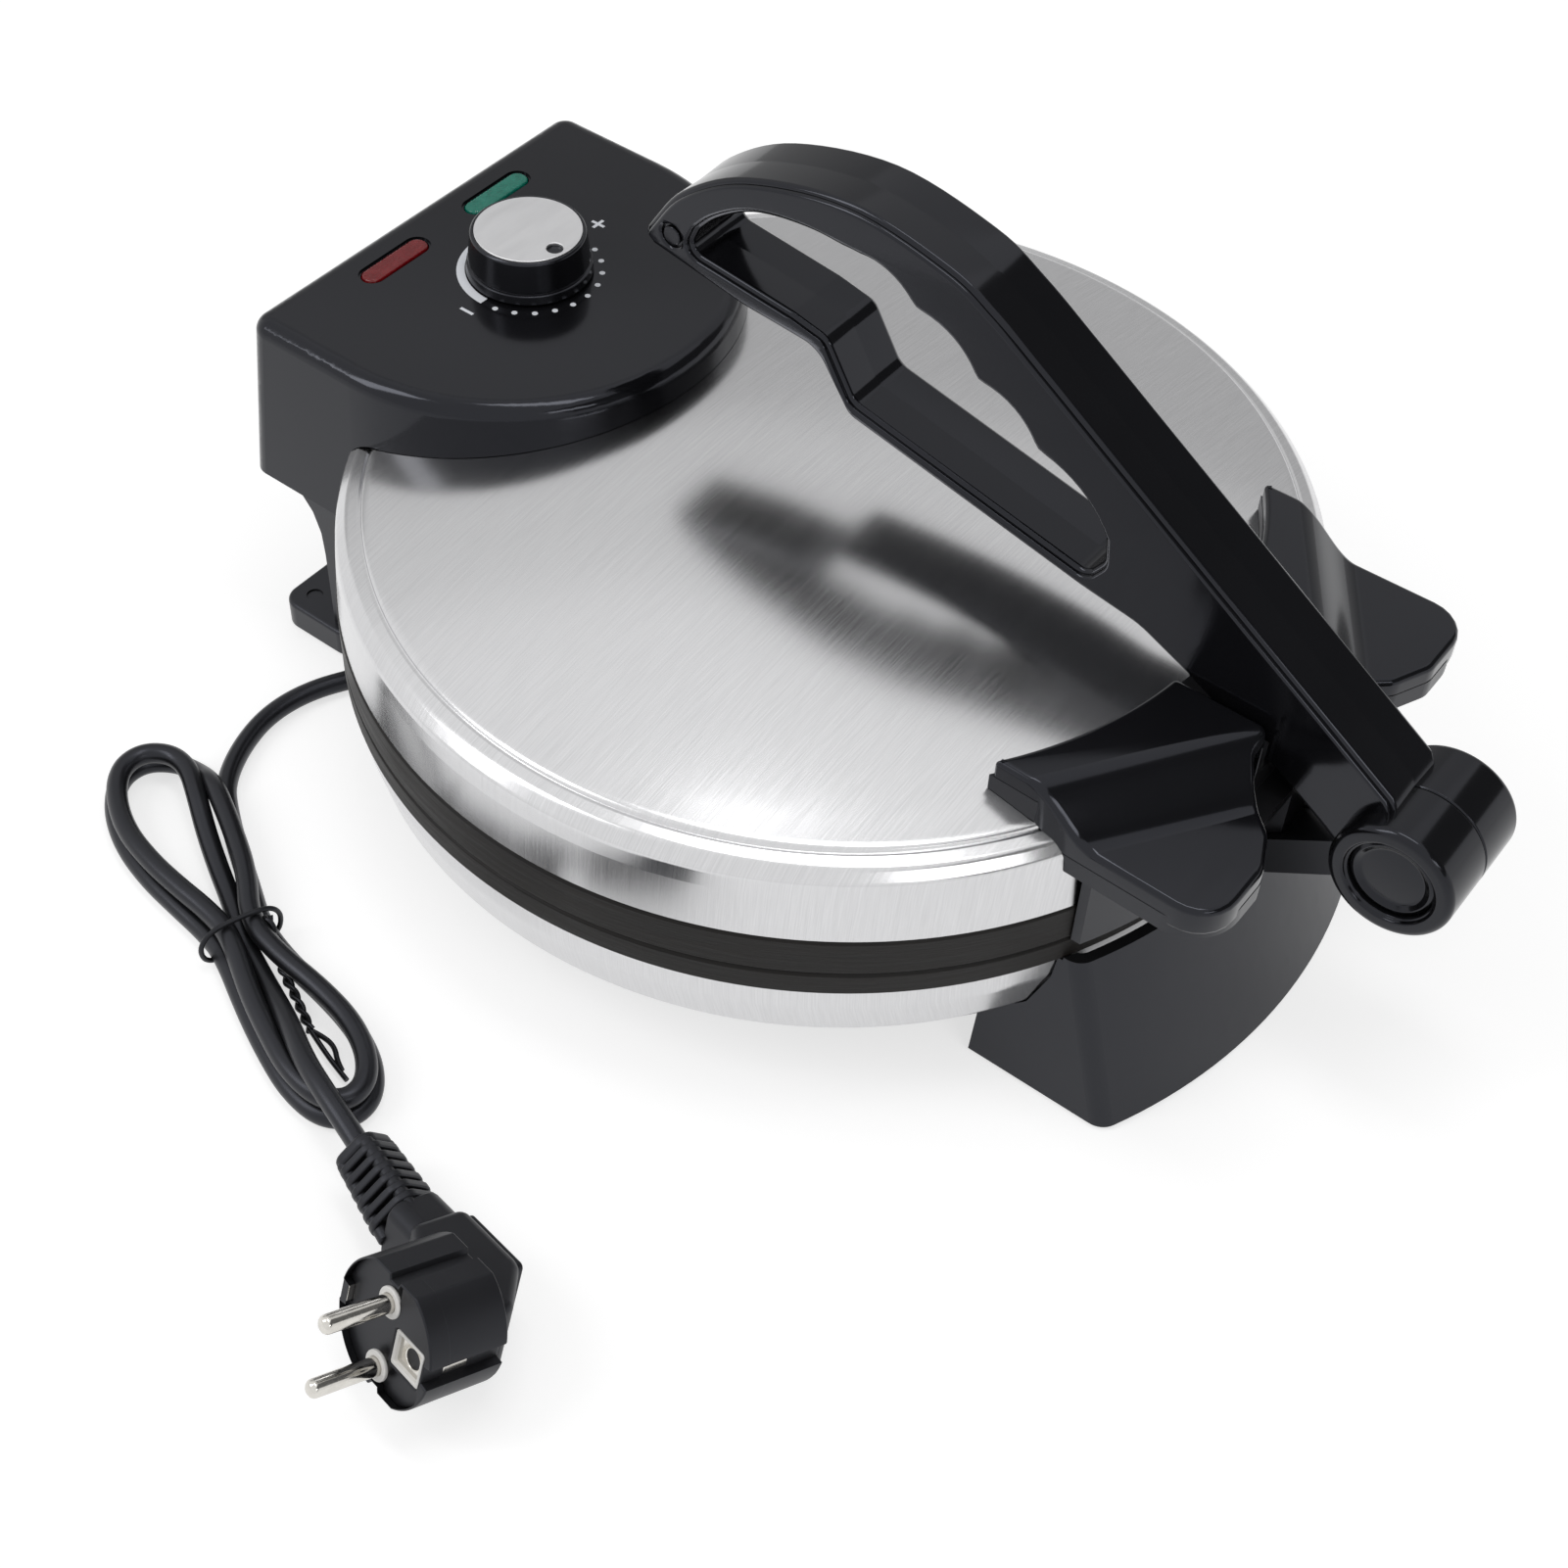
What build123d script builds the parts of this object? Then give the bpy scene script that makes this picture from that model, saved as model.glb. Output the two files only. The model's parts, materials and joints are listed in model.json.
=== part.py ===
from build123d import *

import os
from math import atan2, cos, hypot, pi, radians, sin, sqrt, tan

# Electric roti maker: a hinged lid, a lever that presses it down, and a mains lead.
# Sizes in mm and angles in degrees. The plates' axis is x = 0, y = 0 until the export,
# +y points to the hinge and z = 0 is the table.

# Clearances
split_gap = 0.3               # between lid and base
fit_gap = 0.3                 # between loosely fitted pieces of one body
seat_gap = 0.15               # under mouldings shaped to the steel shells
running_gap = 0.05            # round the axle and the shaft
pin_gap = 0.1                 # round caps, plugs and pads

# Cooking plates and their rims
plate_radius = 127.0          # the pressed bread is 254 mm across
plate_thick = 6.5
rim_width = 11.0
rim_ledge = 4.0               # step in a rim that the plate lies on
lower_rim_height = 8.0
upper_rim_height = 12.4
split_z = 56.8                # where lid and base meet
rim_radius = plate_radius + rim_width
lower_rim_bottom_z = split_z - lower_rim_height
upper_split_z = split_z + split_gap
upper_rim_top_z = upper_split_z + upper_rim_height

# Base
steel_wall = 1.0
bowl_inset = 1.2              # of the bowl from the rim
bowl_taper = 3.2
bowl_side_drop = 7.8          # nearly upright part below the rim
bowl_side_draft = 0.3
bowl_foot_z = 28.6
bowl_foot_bend = 2.6
bowl_flange = 15.6
cover_inset = 7.6
cover_thick = 3.2
vent_width = 3.0
vent_pitch = 9.0
vent_start_y = 15.0
vent_end_y = 45.0
moulding_wall = 3.0
foot_lift = 1.0               # mouldings stand this far off the table, on rubber pads
bowl_top_radius = rim_radius - bowl_inset
bowl_foot_radius = bowl_top_radius - bowl_taper
bowl_opening_radius = bowl_foot_radius - bowl_flange
bowl_side_z = lower_rim_bottom_z - bowl_side_drop
bowl_bottom_z = bowl_foot_z - bowl_foot_bend
cover_radius = bowl_foot_radius - cover_inset
cover_top_z = bowl_bottom_z
cover_bottom_z = cover_top_z - cover_thick
shelf_bottom_z = cover_bottom_z - moulding_wall

# Lid
skirt_inset = 0.4             # of the lid's lower edge from the rim
skirt_draft = 1.2
skirt_height = 18.0
shoulder_width = 10.4
shoulder_round = 3.6
shoulder_rise = 5.2
dome_rise = 13.23             # of the dome above its edge
dome_lift = 20.8              # of the dome's top above the skirt
shoulder_radius = rim_radius - skirt_inset - skirt_draft
shoulder_start_radius = shoulder_radius - shoulder_width
shoulder_z = upper_rim_top_z + skirt_height
dome_top_z = shoulder_z + dome_lift

# Heaters and their reflectors
element_ring_radius = 85.0
element_radius = 3.3
element_gap_angle = 30.0
terminal_radius = 2.4
terminal_length = 13.0
terminal_turn = 1.5           # degrees from the heater's end to its terminal
terminal_clearance = 2.0
reflector_inset = 10.0
reflector_thick = 0.8
reflector_lip = 4.0
boss_circle = 58.0
boss_radius = 5.0
boss_height = 8.0
boss_bore_radius = 1.6
boss_bore_depth = 6.0
boss_count = 3
pillar_bore_radius = 1.9
reflector_radius = plate_radius - reflector_inset
lower_back_z = split_z - plate_thick
lower_reflector_z = lower_back_z - boss_height
upper_back_z = upper_split_z + plate_thick
upper_reflector_z = upper_back_z + boss_height
pillar_top_z = lower_reflector_z - reflector_thick

# Hinge and pressing lever, all on one axle
hinge_reach = 45.5            # behind the rim
hinge_rise = 13.5             # above the upper rim
axle_radius = 3.5
axle_length = 27.6
hub_radius = 17.0
hub_half = 18.5
hub_wall = 2.4
hub_web_in = 10.6
hub_web_out = 14.0
hub_cap_radius = 11.5
hub_cap_thick = 2.6
hub_edge = 1.4
lever_half = 12.0
lever_wall = 2.2
bracket_half = 9.0
bracket_wall = 2.6
arm_half = 6.0
arm_side_gap = 0.4
arm_front_reach = 1.4         # of the arm's flange behind the rim
arm_rear_reach = 12.0
bar_half_thick = 5.4
hub_eye_radius = 8.2
hinge_y = rim_radius + hinge_reach
hinge_z = upper_rim_top_z + hinge_rise
arm_front_y = rim_radius + arm_front_reach
arm_rear_y = rim_radius + arm_rear_reach

# Control box on the front of the lid
box_lift = 8.2                # of its top above the dome
box_drop = 6.5                # from its bottom up to the upper rim's top
box_half_top = 66.9
box_draft = 4.0               # degrees
box_reach = 17.0              # of its front in front of the rim
box_round_inset = 21.5
box_wall = 2.6
box_corner = 6.0
box_edge = 5.0
tray_thick = 2.5
tray_fence = 2.2
box_top_z = dome_top_z + box_lift
box_bottom_z = upper_rim_top_z - box_drop
box_front_top_y = -rim_radius - box_reach
box_round_y = -rim_radius + box_round_inset
box_roof_z = box_top_z - box_wall
box_front_y = box_front_top_y - (box_top_z - box_bottom_z) * tan(radians(box_draft))

# Thermostat dial and lamps
dial_inset = 28.3
knob_radius_top = 16.4
knob_radius_foot = 18.2
knob_height = 13.0
knob_band = 3.2
knob_lift = 0.6
knob_cap_radius = 15.4
knob_cap_thick = 0.8
dimple_radius = 2.4
dimple_offset = 11.8
shaft_radius = 3.0
dot_radius = 0.85
dot_circle = 20.6
dial_mark_depth = 0.3
lens_x = 21.6
lens_reach = 3.8
lens_length = 25.0
lens_width = 6.8
lens_flange = 1.5
lamp_radius = 2.9
lamp_length = 14.0
lamp_drop = 11.5              # of a lamp's middle below the box's top
thermostat_radius = 14.0
thermostat_height = 12.5
dial_y = -rim_radius + dial_inset
lens_y = -rim_radius - lens_reach
lamp_z = box_top_z - lamp_drop
thermostat_low_z = box_roof_z - thermostat_height
knob_low_z = box_top_z + knob_lift
knob_top_z = knob_low_z + knob_height

# Rear bracket with its two wings
wing_half = 67.4
wing_side_draft = 1.4
wing_front_inset = 22.2
wing_rear_reach = 23.0
wing_drop = 0.9               # of its top below the dome's top
wing_low_rise = 7.7
wing_bottom_drop = 3.3
wing_cover_thick = 5.4
wing_slot_half = 20.6
wing_corner = 14.0
lever_slot_half = 13.2
slot_slope = 0.552
slot_rise = 23.9              # of the slot's floor above the axle, at its front
step_side_inset = 26.8
step_slope = 0.663
skirt_gap = 0.6
skirt_thick = 2.4
wing_front_radius = rim_radius - wing_front_inset
wing_rear_y = rim_radius + wing_rear_reach
wing_top_z = dome_top_z - wing_drop
wing_low_z = shoulder_z + wing_low_rise
wing_bottom_z = shoulder_z - wing_bottom_drop
slot_front_y = wing_front_radius - 0.4
step_side_y = rim_radius - step_side_inset

# Rear foot
foot_half_bottom = 70.6
foot_half_top = 63.6
foot_front_inset = 34.5
foot_reach_bottom = 24.4
foot_reach_top = 4.4
foot_rise = 0.7               # of its top above the lower rim's bottom
foot_corner = 6.0
pad_radius = 7.0
pad_depth = 3.0
pad_rim = 2.0
pad_post_z = 14.0
foot_front_y = rim_radius - foot_front_inset
foot_arc_bottom = rim_radius + foot_reach_bottom
foot_arc_top = rim_radius + foot_reach_top
foot_top_z = lower_rim_bottom_z + foot_rise
rear_pads = [(s * x, rim_radius + reach) for s in (-1, 1) for x, reach in ((58.0, -25.0), (54.0, 0.5))]

# Hinge bracket's root, under the base
bar_low_reach = 7.0
bar_low_drop = 0.4
root_gap = 1.0
root_depth = 5.0
flange_half = 22.0
flange_thick = 4.0
flange_reach = 48.0
flange_screw_x = 15.0
flange_screw_inset = 26.0
bar_low_y = rim_radius + bar_low_reach
bar_low_z = split_z - bar_low_drop
root_y_low = rim_radius + root_gap
root_y_high = root_y_low + root_depth
root_bottom_z = shelf_bottom_z
flange_y_low = root_y_high - flange_reach
flange_screw_y = rim_radius - flange_screw_inset

# Front stand
stand_half = 66.5
stand_plate_half = 69.5
stand_plate_reach = 18.5
stand_plate_length = 29.5
stand_plate_thick = 9.0
stand_plate_corner = 6.0
stand_plate_edge = 1.2
stand_mark_radius = 2.6
stand_clear = 1.5
stand_plate_front_y = -rim_radius - stand_plate_reach
stand_plate_rear_y = stand_plate_front_y + stand_plate_length
stand_top_z = box_bottom_z - split_gap
front_pads = [(s * 56.0, -rim_radius - reach) for s in (-1, 1) for reach in (9.0, -2.0)]

# Mains lead
cord_radius = 3.1
gland_length = 24.0
gland_radius_high = 5.0
gland_radius_low = 4.3
hank_height = 12.4
tie_wall = 0.8
tie_width = 5.0
pin_radius = 2.4
pin_length = 19.0
pin_spacing = 19.0
plug_radius = 18.4
plug_face_thick = 16.0
plug_depth = 36.0
relief_depth = 28.5
neck_length = 31.0
relief_tip = (-6.0, -55.7, -29.5)

# The origin is under the middle of the body's length.
plate_y = -(hinge_y + hub_radius + box_front_y) / 2

parts = {}


# helpers
def polar(radius, angle):
    """Point at a distance and angle (degrees) from the plates' axis."""
    return radius * cos(radians(angle)), radius * sin(radians(angle))


def turned(points):
    """Solid of revolution about the plates' axis from (radius, height) points."""
    face = Plane.XZ * make_face(Polyline(*points, close=True))
    return revolve(face, Axis.Z)


def post(x, y, z_low, z_high, radius):
    """Upright cylinder between two heights."""
    return Pos(x, y, (z_low + z_high) / 2) * Cylinder(radius, z_high - z_low)


def block(x_low, x_high, y_low, y_high, z_low, z_high):
    """Box between two corners."""
    size = Box(x_high - x_low, y_high - y_low, z_high - z_low)
    return Pos((x_low + x_high) / 2, (y_low + y_high) / 2, (z_low + z_high) / 2) * size


def side_prism(outline, x_low, x_high):
    """Prism of a (y, z) face between two x positions."""
    return extrude(Plane.YZ.offset(x_low) * outline, x_high - x_low)


def side_polygon(points):
    """Face from (y, z) points."""
    return make_face(Polyline(*points, close=True))


def cross_pin(y, z, x_low, x_high, radius):
    """Cylinder along x."""
    pin = Rot(0, 90, 0) * Cylinder(radius, x_high - x_low)
    return Pos((x_low + x_high) / 2, y, z) * pin


def ring_of(count, radius, start=90.0):
    """Evenly spaced points on a circle about the plates' axis."""
    return [polar(radius, start + 360 * i / count) for i in range(count)]


def screw(x, y, z_head, length, radius, up=True):
    """Pan-head screw with its shank going up or down from the head's seat."""
    way = 1 if up else -1
    shank = Pos(x, y, z_head + way * length / 2) * Cylinder(radius, length)
    head = Pos(x, y, z_head - way * radius * 0.6) * Cylinder(radius * 1.9, radius * 1.2)
    return shank + head


# lid outline
def dome_height(radius):
    """Height of the lid's outside at a distance from the plates' axis."""
    return dome_top_z - dome_rise * (radius / shoulder_start_radius) ** 2


def lid_outline(grow, bottom_z):
    """Half section of the lid's outside, grown outwards, down to a height."""
    start_z = dome_height(shoulder_start_radius)
    crown = (0, dome_top_z + grow)
    mid = (shoulder_start_radius / 2, dome_height(shoulder_start_radius / 2) + grow)
    edge = (shoulder_start_radius + grow * 0.3, start_z + grow)
    bend = (shoulder_radius - shoulder_round + grow * 0.7, shoulder_z + shoulder_rise + grow * 0.7)
    wall = (shoulder_radius + grow, shoulder_z)
    low = (rim_radius - skirt_inset + grow, bottom_z)
    return [ThreePointArc(crown, mid, edge), ThreePointArc(edge, bend, wall), Line(wall, low)]


def lid_solid(grow, bottom_z):
    """Everything inside the lid's outside surface."""
    edges = lid_outline(grow, bottom_z)
    low = edges[-1] @ 1
    edges.append(Line((low.X, low.Y), (0, bottom_z)))
    edges.append(Line((0, bottom_z), (0, dome_top_z + grow)))
    return revolve(Plane.XZ * make_face(Wire(edges)), Axis.Z)


lid_envelope = lid_solid(seat_gap, upper_rim_top_z)
rim_envelope = turned([(0, lower_rim_bottom_z), (rim_radius + fit_gap, lower_rim_bottom_z),
                       (rim_radius + fit_gap, upper_rim_top_z), (0, upper_rim_top_z)])


# base: plates and shells
def rim(z_split, z_back, way):
    """Moulded rim round a plate; way is +1 for the lower one, -1 for the upper one."""
    z_plate = z_split - way * plate_thick
    return turned([(plate_radius + fit_gap, z_split), (rim_radius, z_split), (rim_radius, z_back),
                   (plate_radius - rim_ledge, z_back), (plate_radius - rim_ledge, z_plate),
                   (plate_radius + fit_gap, z_plate)])


def plate(z_split, way):
    """Cast cooking plate with bosses on its back."""
    z_back = z_split - way * plate_thick
    z_boss = z_back - way * boss_height
    disc = post(0, 0, min(z_split, z_back), max(z_split, z_back), plate_radius)
    for x, y in ring_of(boss_count, boss_circle):
        disc += post(x, y, min(z_back, z_boss), max(z_back, z_boss), boss_radius)
        z_bore = z_boss + way * boss_bore_depth
        disc -= post(x, y, min(z_boss, z_bore), max(z_boss, z_bore), boss_bore_radius)
    return disc


def terminal_place(side):
    """Place of a heater's terminal beside its gap."""
    return polar(element_ring_radius, -90 + side * (element_gap_angle / 2 + terminal_turn))


def element(z_back, way):
    """Tubular heater: an open ring with two terminals, pressed to a plate's back."""
    z = z_back - way * (element_radius + running_gap)
    half_gap = element_gap_angle / 2
    heater = Pos(0, 0, z) * Torus(element_ring_radius, element_radius)
    wedge = [(0, 0), polar(2 * element_ring_radius, -90 - half_gap),
             polar(2 * element_ring_radius, -90 + half_gap)]
    wedge_low = z - 1.5 * element_radius
    heater -= Pos(0, 0, wedge_low) * extrude(make_face(Polyline(*wedge, close=True)), 3 * element_radius)
    for side in (-1, 1):
        x, y = terminal_place(side)
        z_end = z - way * terminal_length
        heater += post(x, y, min(z, z_end), max(z, z_end), terminal_radius)
    return heater


def reflector(z_seat, way):
    """Thin pan behind a heater, screwed to the plate's bosses."""
    z_far = z_seat - way * reflector_thick
    z_lip = z_seat + way * reflector_lip
    pan = turned([(0, z_seat), (reflector_radius - reflector_thick, z_seat),
                  (reflector_radius - reflector_thick, z_lip), (reflector_radius, z_lip),
                  (reflector_radius, z_far), (0, z_far)])
    for x, y in ring_of(boss_count, boss_circle):
        pan -= post(x, y, z_seat - reflector_lip, z_seat + reflector_lip, pillar_bore_radius)
    hole_radius = terminal_radius + terminal_clearance
    for side in (-1, 1):
        x, y = terminal_place(side)
        pan -= post(x, y, z_seat - reflector_lip, z_seat + reflector_lip, hole_radius)
    return pan


parts["lower_rim"] = rim(split_z, lower_rim_bottom_z, 1)
parts["lower_plate"] = plate(split_z, 1)
parts["lower_heating_element"] = element(lower_back_z, 1)
parts["lower_reflector"] = reflector(lower_reflector_z, 1)


def bowl():
    """Spun steel band of the base with a flange turned in under it."""
    wall = steel_wall
    side_radius = bowl_top_radius - bowl_side_draft
    outside = [(bowl_top_radius, lower_rim_bottom_z), (side_radius, bowl_side_z),
               (bowl_foot_radius, bowl_foot_z), (bowl_foot_radius - bowl_foot_bend, bowl_bottom_z),
               (bowl_opening_radius, bowl_bottom_z)]
    inside = [(bowl_opening_radius, bowl_bottom_z + wall),
              (bowl_foot_radius - 0.4 - bowl_foot_bend, bowl_bottom_z + wall),
              (bowl_foot_radius - wall, bowl_foot_z + wall / 2), (side_radius - wall, bowl_side_z),
              (bowl_top_radius - wall, lower_rim_bottom_z)]
    return turned(outside + inside)


def bottom_cover():
    """Moulded plate that closes the bowl, with pillars up to the reflector."""
    cover = post(0, 0, cover_bottom_z, cover_top_z, cover_radius)
    for x, y in ring_of(boss_count, boss_circle):
        cover += post(x, y, cover_top_z, pillar_top_z, boss_radius)
        cover -= post(x, y, cover_bottom_z, pillar_top_z, pillar_bore_radius)
    for i in range(-5, 6):
        x_low = i * vent_pitch - vent_width / 2
        cover -= block(x_low, x_low + vent_width, vent_start_y, vent_end_y, cover_bottom_z, cover_top_z)
    return cover


parts["base_bowl"] = bowl()
parts["bottom_cover"] = bottom_cover()


def bowl_envelope(grow):
    """Space taken by the base's round body, for cutting the stands to it."""
    return turned([(0, cover_bottom_z), (cover_radius + grow, cover_bottom_z),
                   (cover_radius + grow, bowl_bottom_z - grow),
                   (bowl_foot_radius + 0.4 - bowl_foot_bend + grow, bowl_bottom_z - grow),
                   (bowl_foot_radius + grow, bowl_foot_z), (bowl_top_radius + grow, bowl_side_z),
                   (bowl_top_radius + grow, lower_rim_bottom_z - grow),
                   (rim_radius + grow, lower_rim_bottom_z - grow),
                   (rim_radius + grow, split_z + 2), (0, split_z + 2)])


# base: rear foot
def foot_section(half, arc_radius, front_y, corner):
    """Outline of the rear foot at one height: straight sides and an arc at the back."""
    side_y = sqrt(arc_radius**2 - half**2)
    edges = [Line((-half, front_y), (half, front_y)), Line((half, front_y), (half, side_y)),
             ThreePointArc((half, side_y), (0, arc_radius), (-half, side_y)),
             Line((-half, side_y), (-half, front_y))]
    face = make_face(Wire(edges))
    back = face.vertices().sort_by(Axis.Y)[-2:]
    return fillet(back, corner)


def foot_body(inset, z_low, z_high):
    """Tapered body of the rear foot, shrunk by a wall, between two heights."""
    sections = []
    for z in (z_low, z_high):
        share = (z - foot_lift) / (foot_top_z - foot_lift)
        half = foot_half_bottom + (foot_half_top - foot_half_bottom) * share - inset
        arc = foot_arc_bottom + (foot_arc_top - foot_arc_bottom) * share - inset
        outline = foot_section(half, arc, foot_front_y + inset, foot_corner - inset / 2)
        sections.append(Pos(0, 0, z) * outline)
    return loft(sections)


def bracket_outline(grow):
    """Side view of the base's hinge bracket: eye, rising bar and upright root."""
    slope = atan2(hinge_z - bar_low_z, hinge_y - bar_low_y)
    nx, nz = -sin(slope), cos(slope)
    low = bar_half_thick + grow
    points = [(hinge_y + nx * low, hinge_z + nz * low),
              (bar_low_y + nx * low, bar_low_z + nz * low),
              (root_y_low - grow, bar_low_z + 4.0 + grow), (root_y_low - grow, root_bottom_z - grow),
              (root_y_high + grow, root_bottom_z - grow), (root_y_high + grow, bar_low_z - 6.5),
              (bar_low_y - nx * low + 2.0, bar_low_z - nz * low + 1.4),
              (hinge_y - nx * low, hinge_z - nz * low)]
    return side_polygon(points)


def rear_foot():
    """Hollow foot under the hinge, open above, with a shelf under the base."""
    walls = foot_body(0, foot_lift, foot_top_z)
    walls -= foot_body(moulding_wall, foot_lift, foot_top_z)
    shelf = foot_body(0.5, shelf_bottom_z, cover_bottom_z)
    shelf -= block(-2 * foot_half_bottom, 2 * foot_half_bottom, rim_radius - 17.0,
                   foot_arc_bottom, 0, foot_top_z)
    walls += shelf
    for x, y in rear_pads:
        z_post = shelf_bottom_z if y < rim_radius - 17.0 else pad_post_z
        walls += post(x, y, foot_lift, z_post, pad_radius + pad_rim)
    walls &= foot_body(0, foot_lift, foot_top_z)
    walls -= bowl_envelope(fit_gap)
    for x, y in rear_pads:
        walls -= post(x, y, 0, pad_depth + foot_lift, pad_radius)
    walls -= side_prism(bracket_outline(fit_gap), -bracket_half - fit_gap, bracket_half + fit_gap)
    walls -= block(-flange_half - fit_gap, flange_half + fit_gap, flange_y_low - fit_gap,
                   root_y_high + fit_gap, root_bottom_z - fit_gap - flange_thick, cover_bottom_z)
    return walls


parts["rear_foot"] = rear_foot()


def hinge_bracket():
    """Steel channel from under the base up to the axle, open above for the lid's arm."""
    bar = side_prism(bracket_outline(0), -bracket_half, bracket_half)
    bar += cross_pin(hinge_y, hinge_z, -bracket_half, bracket_half, hub_eye_radius)
    slope = atan2(hinge_z - bar_low_z, hinge_y - bar_low_y)
    nx, nz = -sin(slope), cos(slope)
    floor = bar_half_thick - bracket_wall
    reach = hub_radius + 3.0
    back = hub_eye_radius + 4.8
    eye_y = hinge_y - cos(slope) * back
    eye_z = hinge_z - sin(slope) * back
    front_y = root_y_low - root_depth
    groove = [(hinge_y + nx * reach, hinge_z + nz * reach), (hinge_y + reach, hinge_z + reach),
              (hinge_y + reach, hinge_z - reach), (hinge_y - nx * reach, hinge_z - nz * reach),
              (eye_y - nx * reach, eye_z - nz * reach), (eye_y - nx * floor, eye_z - nz * floor),
              (bar_low_y - nx * floor, bar_low_z - nz * floor), (front_y, bar_low_z - 3.2),
              (front_y, bar_low_z + 30)]
    bar -= side_prism(side_polygon(groove), -arm_half - arm_side_gap, arm_half + arm_side_gap)
    bar += block(-flange_half, flange_half, flange_y_low, root_y_high,
                 root_bottom_z - flange_thick + moulding_wall, root_bottom_z + moulding_wall)
    bar -= cross_pin(hinge_y, hinge_z, -bracket_half, bracket_half, axle_radius)
    return bar


parts["hinge_bracket"] = hinge_bracket()
parts["hinge_axle"] = cross_pin(hinge_y, hinge_z, -axle_length / 2, axle_length / 2, axle_radius)


# base: front stand
def stand_section(half, front_side_y, front_mid_y, z, inset):
    """Outline of the front stand at one height: a bowed front and straight sides."""
    rear_y = -rim_radius + stand_depth
    edges = [ThreePointArc((-half + inset, front_side_y + inset), (0, front_mid_y + inset),
                           (half - inset, front_side_y + inset)),
             Line((half - inset, front_side_y + inset), (half - inset, rear_y)),
             Line((half - inset, rear_y), (-half + inset, rear_y)),
             Line((-half + inset, rear_y), (-half + inset, front_side_y + inset))]
    return Pos(0, 0, z) * make_face(Wire(edges))


stand_depth = 43.0            # from the rim's front to the stand's open back
stand_levels = [(foot_lift, -2.0, 12.0), (stand_top_z - 24.7, -1.8, 12.2), (stand_top_z - 16.7, -1.2, 12.8),
                (stand_top_z - 9.7, 1.2, 14.6), (stand_top_z, 9.0, 17.6)]


def stand_body(inset):
    """Upright of the front stand, leaning out at the top under the control box."""
    sections = [stand_section(stand_half, -rim_radius - side, -rim_radius - mid, z, inset)
                for z, side, mid in stand_levels]
    return loft(sections, ruled=True)


def front_stand():
    """Hollow stand under the control box with a plate that rests on the table."""
    upright = stand_body(0) - stand_body(moulding_wall)
    side = 2 * stand_half
    front_y = -2 * rim_radius
    rear_y = -rim_radius + stand_depth
    upright += stand_body(0) & block(-side, side, front_y, rear_y, stand_top_z - moulding_wall, stand_top_z)
    upright += stand_body(0) & block(-side, side, -rim_radius + 10.0, rear_y, shelf_bottom_z, cover_bottom_z)
    upright -= block(-side, side, rear_y - 1.5, rear_y + 5.0, 0, stand_top_z + 1)
    upright -= block(-side, side, -rim_radius + 17.0, rear_y + 5.0, 0, shelf_bottom_z)
    plate_sketch = RectangleRounded(2 * stand_plate_half, stand_plate_length, stand_plate_corner)
    plate_mid = (stand_plate_rear_y + stand_plate_front_y) / 2
    foot = Pos(0, plate_mid, foot_lift) * extrude(plate_sketch, stand_plate_thick)
    foot = fillet(foot.edges().group_by(Axis.Z)[-1], stand_plate_edge)
    mark_x = stand_plate_half - 7.5
    mark_y = stand_plate_front_y + 7.5
    mark = Pos(mark_x, mark_y, foot_lift + stand_plate_thick) * Cylinder(stand_mark_radius, 1.0)
    stand = upright + foot - mark
    stand -= bowl_envelope(fit_gap)
    stand -= post(0, 0, split_z - 1, stand_top_z + 1, rim_radius + stand_clear)
    for x, y in front_pads:
        stand -= post(x, y, 0, pad_depth + foot_lift, pad_radius)
    return stand


parts["front_stand"] = front_stand()


def rubber_pads():
    """Eight round pads pressed into the two stands."""
    pads = []
    for x, y in rear_pads + front_pads:
        pads.append(post(x, y, 0, pad_depth + foot_lift, pad_radius - pin_gap))
    return Compound(pads)


parts["rubber_pads"] = rubber_pads()


# base: electrics and screws
block_x = 24.0
block_y = -62.0
block_half = 16.0
block_depth = 8.0
block_height = 11.0
block_pitch = 10.0
block_bore = 2.2
fuse_radius = 2.5
fuse_y = 30.0
wire_radius = 1.3
parts["terminal_block"] = (block(block_x - block_half, block_x + block_half, block_y - block_depth,
                                 block_y + block_depth, cover_top_z, cover_top_z + block_height)
                           - Compound([post(block_x + i * block_pitch, block_y, cover_top_z + 6,
                                            cover_top_z + 12, block_bore) for i in (-1, 0, 1)]))
parts["thermal_fuse"] = cross_pin(fuse_y, pillar_top_z - fuse_radius - pin_gap, 18, 44, fuse_radius)


def wire_run(points, radius, bend):
    """Insulated wire along straight runs with rounded corners."""
    path = FilletPolyline(*points, radius=bend)
    start = Plane(origin=path @ 0, z_dir=path % 0)
    return sweep(start * Circle(radius), path)


def base_wires():
    """Wires from the terminal block to the lower heater's terminals."""
    runs = []
    z = cover_top_z + 4.0
    for side in (-1, 1):
        tx, ty = terminal_place(side)
        z_tip = lower_back_z - element_radius - running_gap - terminal_length
        x_block = block_x + side * block_pitch
        runs.append(wire_run([(x_block, block_y - block_depth - 0.2, z), (x_block, ty + 9, z),
                              (tx + 9, ty + 6, z), (tx, ty, z), (tx, ty, z_tip - pin_gap)],
                             wire_radius, 1.6))
    return Compound(runs)


parts["base_wires"] = base_wires()


def base_screws():
    """Long screws through the cover's pillars, and short ones under both stands."""
    screws = []
    for x, y in ring_of(boss_count, boss_circle):
        length = lower_reflector_z - cover_bottom_z + boss_bore_depth - 1.5
        screws.append(screw(x, y, cover_bottom_z, length, screw_radius))
    z_head = root_bottom_z - flange_thick + moulding_wall
    for x in (-flange_screw_x, flange_screw_x):
        screws.append(screw(x, flange_screw_y, z_head, flange_thick + 2.2, screw_radius))
    return Compound(screws)


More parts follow.
